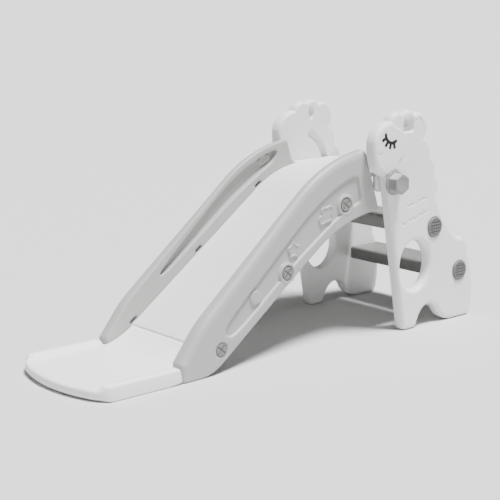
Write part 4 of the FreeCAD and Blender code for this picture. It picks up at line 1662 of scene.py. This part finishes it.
# ------------------------------------------------------------------ steps
@dataclass
class Step:
    """A blow-moulded step with a rounded nose and rows of low studs on its tread."""

    word: str
    edge_round: float = 7.0
    stud_gap: float = 13.0
    stud_radius: float = 3.4
    stud_rise: float = 0.22
    studs_short: float = 40.0
    studs_narrow: float = 34.0
    line_in: float = 11.0
    line_ends: float = 16.0
    tread_line: tuple[float, float] = (4.0, 1.2)

    def build(self) -> None:
        """Make the step and its studs and show them in place of the frame's node."""
        node = f"step_{self.word}"
        low, high = (np.array(corner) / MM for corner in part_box(node))
        low[0] -= HINGE.x
        high[0] -= HINGE.x
        lift = self.stud_radius * self.stud_rise
        plan = soften([(low[0], low[1]), (high[0], low[1]), (high[0], high[1]),
                       (low[0], high[1])], 0)
        edge = Rounding(self.edge_round, self.edge_round)
        skin = Skin([plan], at_height(high[2] - lift), at_height(low[2]), edge, edge,
                    lambda flat, height: np.column_stack([flat, height]),
                    self.tread(low, high), pitch=10.0, rim_gap=4.0)
        body = skin.mesh(f"{node}_body")
        long = high[1] - low[1] - self.studs_short
        wide = high[0] - low[0] - self.studs_narrow
        seat = bpy.data.meshes.new(f"{node}_seat")
        studs = run_tree(TREES["grid"], seat, f"{node}_studs", {
            "Length": long * MM, "Width": wide * MM,
            "Rows": int(long / self.stud_gap) + 1, "Columns": int(wide / self.stud_gap) + 1,
            "Radius": self.stud_radius * MM, "Rise": self.stud_rise,
            "Centre": (((low[0] + high[0]) / 2 + HINGE.x) * MM, 0.0, (high[2] - lift) * MM),
            "Finish": MATERIALS["step"]})
        piece(f"{node}_skin", joined(f"{node}_skin", [body, studs]), "ladder", "step", [node])

    def tread(self, low: Points, high: Points) -> list[Relief]:
        """Draw a shallow line round the tread, inside its edge.

        Args:
            low: The step's lowest corner.
            high: Its highest corner.

        Returns:
            The line, as the only stroke.
        """
        x0, x1 = low[0] + self.line_in, high[0] - self.line_in
        y0, y1 = low[1] + self.line_ends, high[1] - self.line_ends
        loop = soften([(x0, y0), (x1, y0), (x1, y1), (x0, y1)], 2)
        return [Stroke(closing(loop), *self.tread_line)]


# ------------------------------------------------------------------ fasteners
def head_spots(kind: str, words: tuple[str, ...],
               thick: float) -> tuple[list[str], list[tuple], list[tuple]]:
    """Find where the copies of a round head go: one on each node of a kind.

    Args:
        kind: Start of the nodes' names.
        words: What tells the nodes of one side apart.
        thick: How deep the pattern's origin lies under the node's face, in millimetres.

    Returns:
        The nodes' names, the spots in metres and the turns in radians.
    """
    names, spots, turns = [], [], []
    for side in Side:
        for word in words:
            names.append(f"{kind}_{word}_{side.word}")
            low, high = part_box(names[-1])
            face = high[1] if side is Side.LEFT else low[1]
            spots.append(((low[0] + high[0]) / 2, face - side.value * thick * MM,
                          (low[2] + high[2]) / 2))
            turns.append((0.0, 0.0, 0.0 if side is Side.LEFT else math.pi))
    return names, spots, turns


@dataclass
class StepBolts:
    """The four large round bolts that hold the steps, with waffled faces."""

    radius: float = 29.5
    thick: float = 9.0
    pad_gap: float = 9.5
    channel_line: tuple[float, float] = (3.8, 3.6)
    rim: float = 7.5
    ring_line: tuple[float, float] = (4.0, 1.5)
    face_round: tuple[float, float] = (4.0, 3.0)
    foot_round: tuple[float, float] = (0.5, 0.5)

    def pattern(self) -> bpy.types.Mesh:
        """Make one bolt head round the origin, its face towards +Y.

        Returns:
            Its mesh.
        """
        lines: list[Relief] = []
        reach = self.radius - self.rim
        for k in (-1.5, -0.5, 0.5, 1.5):
            at = k * self.pad_gap
            half = math.sqrt(reach ** 2 - at ** 2)
            lines.append(Stroke(np.array([(-half, at), (0, at), (half, at)]), *self.channel_line))
            lines.append(Stroke(np.array([(at, -half), (at, 0), (at, half)]), *self.channel_line))
        lines.append(Stroke(closing(circle(0, 0, reach)), *self.ring_line))
        skin = Skin([circle(0, 0, self.radius)], at_height(self.thick), at_height(0.0),
                    Rounding(*self.face_round), Rounding(*self.foot_round), round_origin,
                    lines, pitch=3.0, rim_gap=2.4)
        return skin.mesh("step_bolt_pattern")

    def build(self) -> None:
        """Show the four bolts as one piece in place of the frame's nodes."""
        names, spots, turns = head_spots("step_bolt", ("lower", "upper"), self.thick)
        mesh = copies("step_bolts", self.pattern(), spots, turns, "fastener")
        piece("step_bolts", mesh, "ladder", "fastener", names)


@dataclass
class RailScrews:
    """The six moulded screws of the rails, each with a crossed slot."""

    radius: float = 18.6
    thick: float = 4.6
    proud: float = 0.4
    slot_line: tuple[float, float] = (5.0, 5.0)
    slot_share: float = 0.74
    slot_turns: tuple[float, float] = (40, 130)
    rim: float = 3.4
    ring_line: tuple[float, float] = (2.4, 0.7)
    face_round: tuple[float, float] = (1.8, 1.8)
    foot_round: tuple[float, float] = (0.3, 0.3)

    def pattern(self) -> bpy.types.Mesh:
        """Make one screw head round the origin, its face towards +Y.

        Returns:
            Its mesh.
        """
        slots: list[Relief] = []
        reach = self.radius * self.slot_share
        for turn in self.slot_turns:
            way = np.array([math.cos(math.radians(turn)), math.sin(math.radians(turn))])
            slots.append(Stroke(np.array([-reach * way, 0 * way, reach * way]), *self.slot_line))
        slots.append(Stroke(closing(circle(0, 0, self.radius - self.rim)), *self.ring_line))
        skin = Skin([circle(0, 0, self.radius)], at_height(self.thick), at_height(0.0),
                    Rounding(*self.face_round), Rounding(*self.foot_round), round_origin,
                    slots, pitch=2.6, rim_gap=1.8)
        return skin.mesh("rail_screw_pattern")

    def build(self) -> None:
        """Show the six screws as one piece in place of the frame's nodes."""
        names, spots, turns = head_spots("rail_screw", ("foot", "mid", "top"),
                                         self.thick - self.proud)
        mesh = copies("rail_screws", self.pattern(), spots, turns, "screw")
        piece("rail_screws", mesh, "chute", "screw", names)


@dataclass
class HandKnob:
    """A hexagonal hand knob that stands on a round flange, with finger grooves."""

    side: Side
    flange_thick: float = 5.0
    across: float = 55.0
    high: float = 36.0
    edge_round: float = 5.0
    fillet: float = 3.0
    flange_edge: float = 1.0
    corner_soft: float = 0.16
    corner_grow: float = 1.06
    grooves: int = 3
    groove_steps: tuple[tuple[float, float], ...] = (
        (0.08, 0.0), (0.25, 1.6), (0.5, 2.4), (0.75, 1.6), (0.92, 0.0))
    groove_start: float = 4.0
    groove_spare: float = 5.0
    dish_deep: float = 1.4
    dish_rim: tuple[float, float] = (3.0, 0.2)
    dish_in: float = 6.0
    count: int = 96

    def outline(self, turn: np.ndarray, grow: float) -> np.ndarray:
        """Work out the softened hexagon.

        Args:
            turn: Angles round the knob's axis.
            grow: How far the outline is moved outwards.

        Returns:
            Its reach from the axis at each angle.
        """
        sixth = math.pi / 3
        off = np.mod(turn + sixth / 2, sixth) - sixth / 2
        sharp = self.across / 2 / np.cos(off)
        even = self.across / 2 * self.corner_grow
        return sharp * (1 - self.corner_soft) + even * self.corner_soft + grow

    def rings(self, turn: np.ndarray, flange: np.ndarray) -> list[tuple[np.ndarray, float]]:
        """Work out the knob's profile, from the panel outwards.

        Args:
            turn: Angles round the knob's axis.
            flange: The flange's radius at each.

        Returns:
            For each ring, its reach at every angle and how far out it stands.
        """
        fillet, foot = self.fillet, self.flange_thick
        found = [(flange - self.flange_edge, 0.0), (flange, self.flange_edge)]
        for bend in np.radians((0, 30, 60, 85)):
            found.append((flange - fillet + fillet * math.cos(bend),
                          foot - fillet + fillet * math.sin(bend)))
        for bend in np.radians((0, 30, 60, 90)):
            found.append((self.outline(turn, fillet - fillet * math.sin(bend)),
                          foot + fillet - fillet * math.cos(bend)))
        pitch = (self.high - foot - self.edge_round - self.groove_spare) / self.grooves
        for k in range(self.grooves):
            for share, deep in self.groove_steps:
                found.append((self.outline(turn, -deep),
                              foot + self.groove_start + (k + share) * pitch))
        for bend in np.radians((0, 20, 40, 60, 80, 90)):
            found.append((self.outline(turn, self.edge_round * (math.cos(bend) - 1)),
                          self.high - self.edge_round + self.edge_round * math.sin(bend)))
        inset, sunk = self.dish_rim
        found.append((self.outline(turn, -self.edge_round - inset), self.high - sunk))
        found.append((self.outline(turn, -self.edge_round - self.dish_in),
                      self.high - self.dish_deep))
        return found

    def build(self) -> None:
        """Make the knob and show it in place of the frame's node."""
        count, sign = self.count, self.side.value
        turn = np.linspace(0, 2 * math.pi, count, endpoint=False)
        low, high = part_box(f"knob_{self.side.word}")
        rings = self.rings(turn, np.full(count, (high[2] - low[2]) / 2 / MM))
        base = (low[1] if self.side is Side.LEFT else high[1]) / MM
        points, faces = [], []
        for reach, out in rings:
            points.append(np.column_stack([reach * np.cos(turn), np.full(count, base) + sign * out,
                                           HINGE.z + reach * np.sin(turn)]))
        for k in range(len(rings) - 1):
            for j in range(count):
                a, b = k * count + j, k * count + (j + 1) % count
                faces.append((a, b, b + count, a + count))
        points.append(np.array([[0, base, HINGE.z],
                                [0, base + sign * (self.high - self.dish_deep), HINGE.z]]))
        under, over = len(rings) * count, len(rings) * count + 1
        last = (len(rings) - 1) * count
        for j in range(count):
            faces.append((under, (j + 1) % count, j))
            faces.append((over, last + j, last + (j + 1) % count))
        mesh = build_mesh(f"knob_{self.side.word}_grip", np.vstack(points), faces)
        piece(f"knob_{self.side.word}_grip", mesh, f"knob_{self.side.word}", "knob",
              [f"knob_{self.side.word}"])


# ------------------------------------------------------------------ studio
@dataclass
class Studio:
    """A plain pale floor, soft light from above and behind the exit, and the camera."""

    azimuth: float = -39.77
    elevation: float = 12.09
    distance: float = 3870.0
    roll: float = -0.69
    lens: float = 96.8
    target: tuple[float, float, float] = (-11.5, 0.0, 271.0)
    sensor: float = 36.0
    sight: float = 50.0
    floor_half: float = 60.0
    floor_drop: float = 0.0005
    floor_paint: MouldedPlastic = MouldedPlastic("matt_white_floor_paint", "#CDCDCD", 0.9, 6.0,
                                                 0.01, 0.0)
    sky: float = 0.12
    # each light's direction, its angle across and its strength
    key: tuple = ((0.25, -0.8, 3.0), 16.0, 10.0)
    fill: tuple = ((-2.5, -2.0, 1.6), 60.0, 0.3)

    def camera(self) -> None:
        """Place the camera on the circle round its target and aim it."""
        turn, rise = math.radians(self.azimuth), math.radians(self.elevation)
        back = Vector((math.sin(turn) * math.cos(rise), -math.cos(turn) * math.cos(rise),
                       math.sin(rise)))
        right = (-back).cross(Vector((0, 0, 1))).normalized()
        up = right.cross(-back)
        tip = math.radians(self.roll)
        right, up = (right * math.cos(tip) + up * math.sin(tip),
                     up * math.cos(tip) - right * math.sin(tip))
        data = bpy.data.cameras.new("camera")
        data.lens = self.lens
        data.sensor_width = self.sensor
        data.clip_end = self.sight
        camera = bpy.data.objects.new("camera", data)
        spot = Vector(self.target) + back * self.distance
        turned = Matrix((right, up, back)).transposed().to_4x4()
        camera.matrix_world = Matrix.Translation(spot * MM) @ turned
        bpy.context.scene.collection.objects.link(camera)
        bpy.context.scene.camera = camera

    def light(self, name: str, spot: tuple[float, float, float], spread: float,
              strength: float) -> None:
        """Add one far, soft light that shines from a direction towards the slide.

        Args:
            name: Name of the light.
            spot: Direction that it comes from, in metres.
            spread: Its angle across, in degrees: a wider light makes softer shadows.
            strength: Its strength, in watts to the square metre.
        """
        data = bpy.data.lights.new(name, "SUN")
        data.angle = math.radians(spread)
        data.energy = strength
        lamp = bpy.data.objects.new(name, data)
        lamp.rotation_euler = Vector(spot).to_track_quat("Z", "Y").to_euler()
        lamp.location = spot
        bpy.context.scene.collection.objects.link(lamp)

    def build(self) -> None:
        """Make the floor, the world, the lights and the camera."""
        world = bpy.data.worlds.new("studio")
        bpy.context.scene.world = world
        world.use_nodes = True
        shade = world.node_tree.nodes["Background"]
        shade.inputs["Color"].default_value = (1.0, 1.0, 1.0, 1.0)
        shade.inputs["Strength"].default_value = self.sky
        half = self.floor_half
        mesh = bpy.data.meshes.new("floor")
        mesh.from_pydata([(-half, -half, 0), (half, -half, 0), (half, half, 0), (-half, half, 0)],
                         [], [(0, 1, 2, 3)])
        floor = bpy.data.objects.new("floor", mesh)
        floor.location.z = -self.floor_drop
        bpy.context.scene.collection.objects.link(floor)
        mesh.materials.append(self.floor_paint.make())
        self.light("key", *self.key)
        self.light("fill", *self.fill)
        self.camera()


# ------------------------------------------------------------------ the whole slide
def dress_nodes() -> None:
    """Give every node that stays visible the finish of its slot."""
    slots = {part["node"]: part["material_slot"] for part in FRAME["record"]["subparts"]}
    for name, node in FRAME["nodes"].items():
        node.data.materials.clear()
        node.data.materials.append(MATERIALS[slots[name]])


def main() -> None:
    """Build the slide's pieces in order."""
    dress_nodes()
    SidePanel().build()
    Rail().build()
    ChuteBed(RAMP).build()
    RunOut(RAMP).build()
    for word in ("lower", "upper"):
        Step(word).build()
    StepBolts().build()
    RailScrews().build()
    for side in Side:
        HandKnob(side).build()
    Studio().build()


if __name__ == "__main__":
    logging.basicConfig(level=logging.INFO, format="%(message)s")
    main()
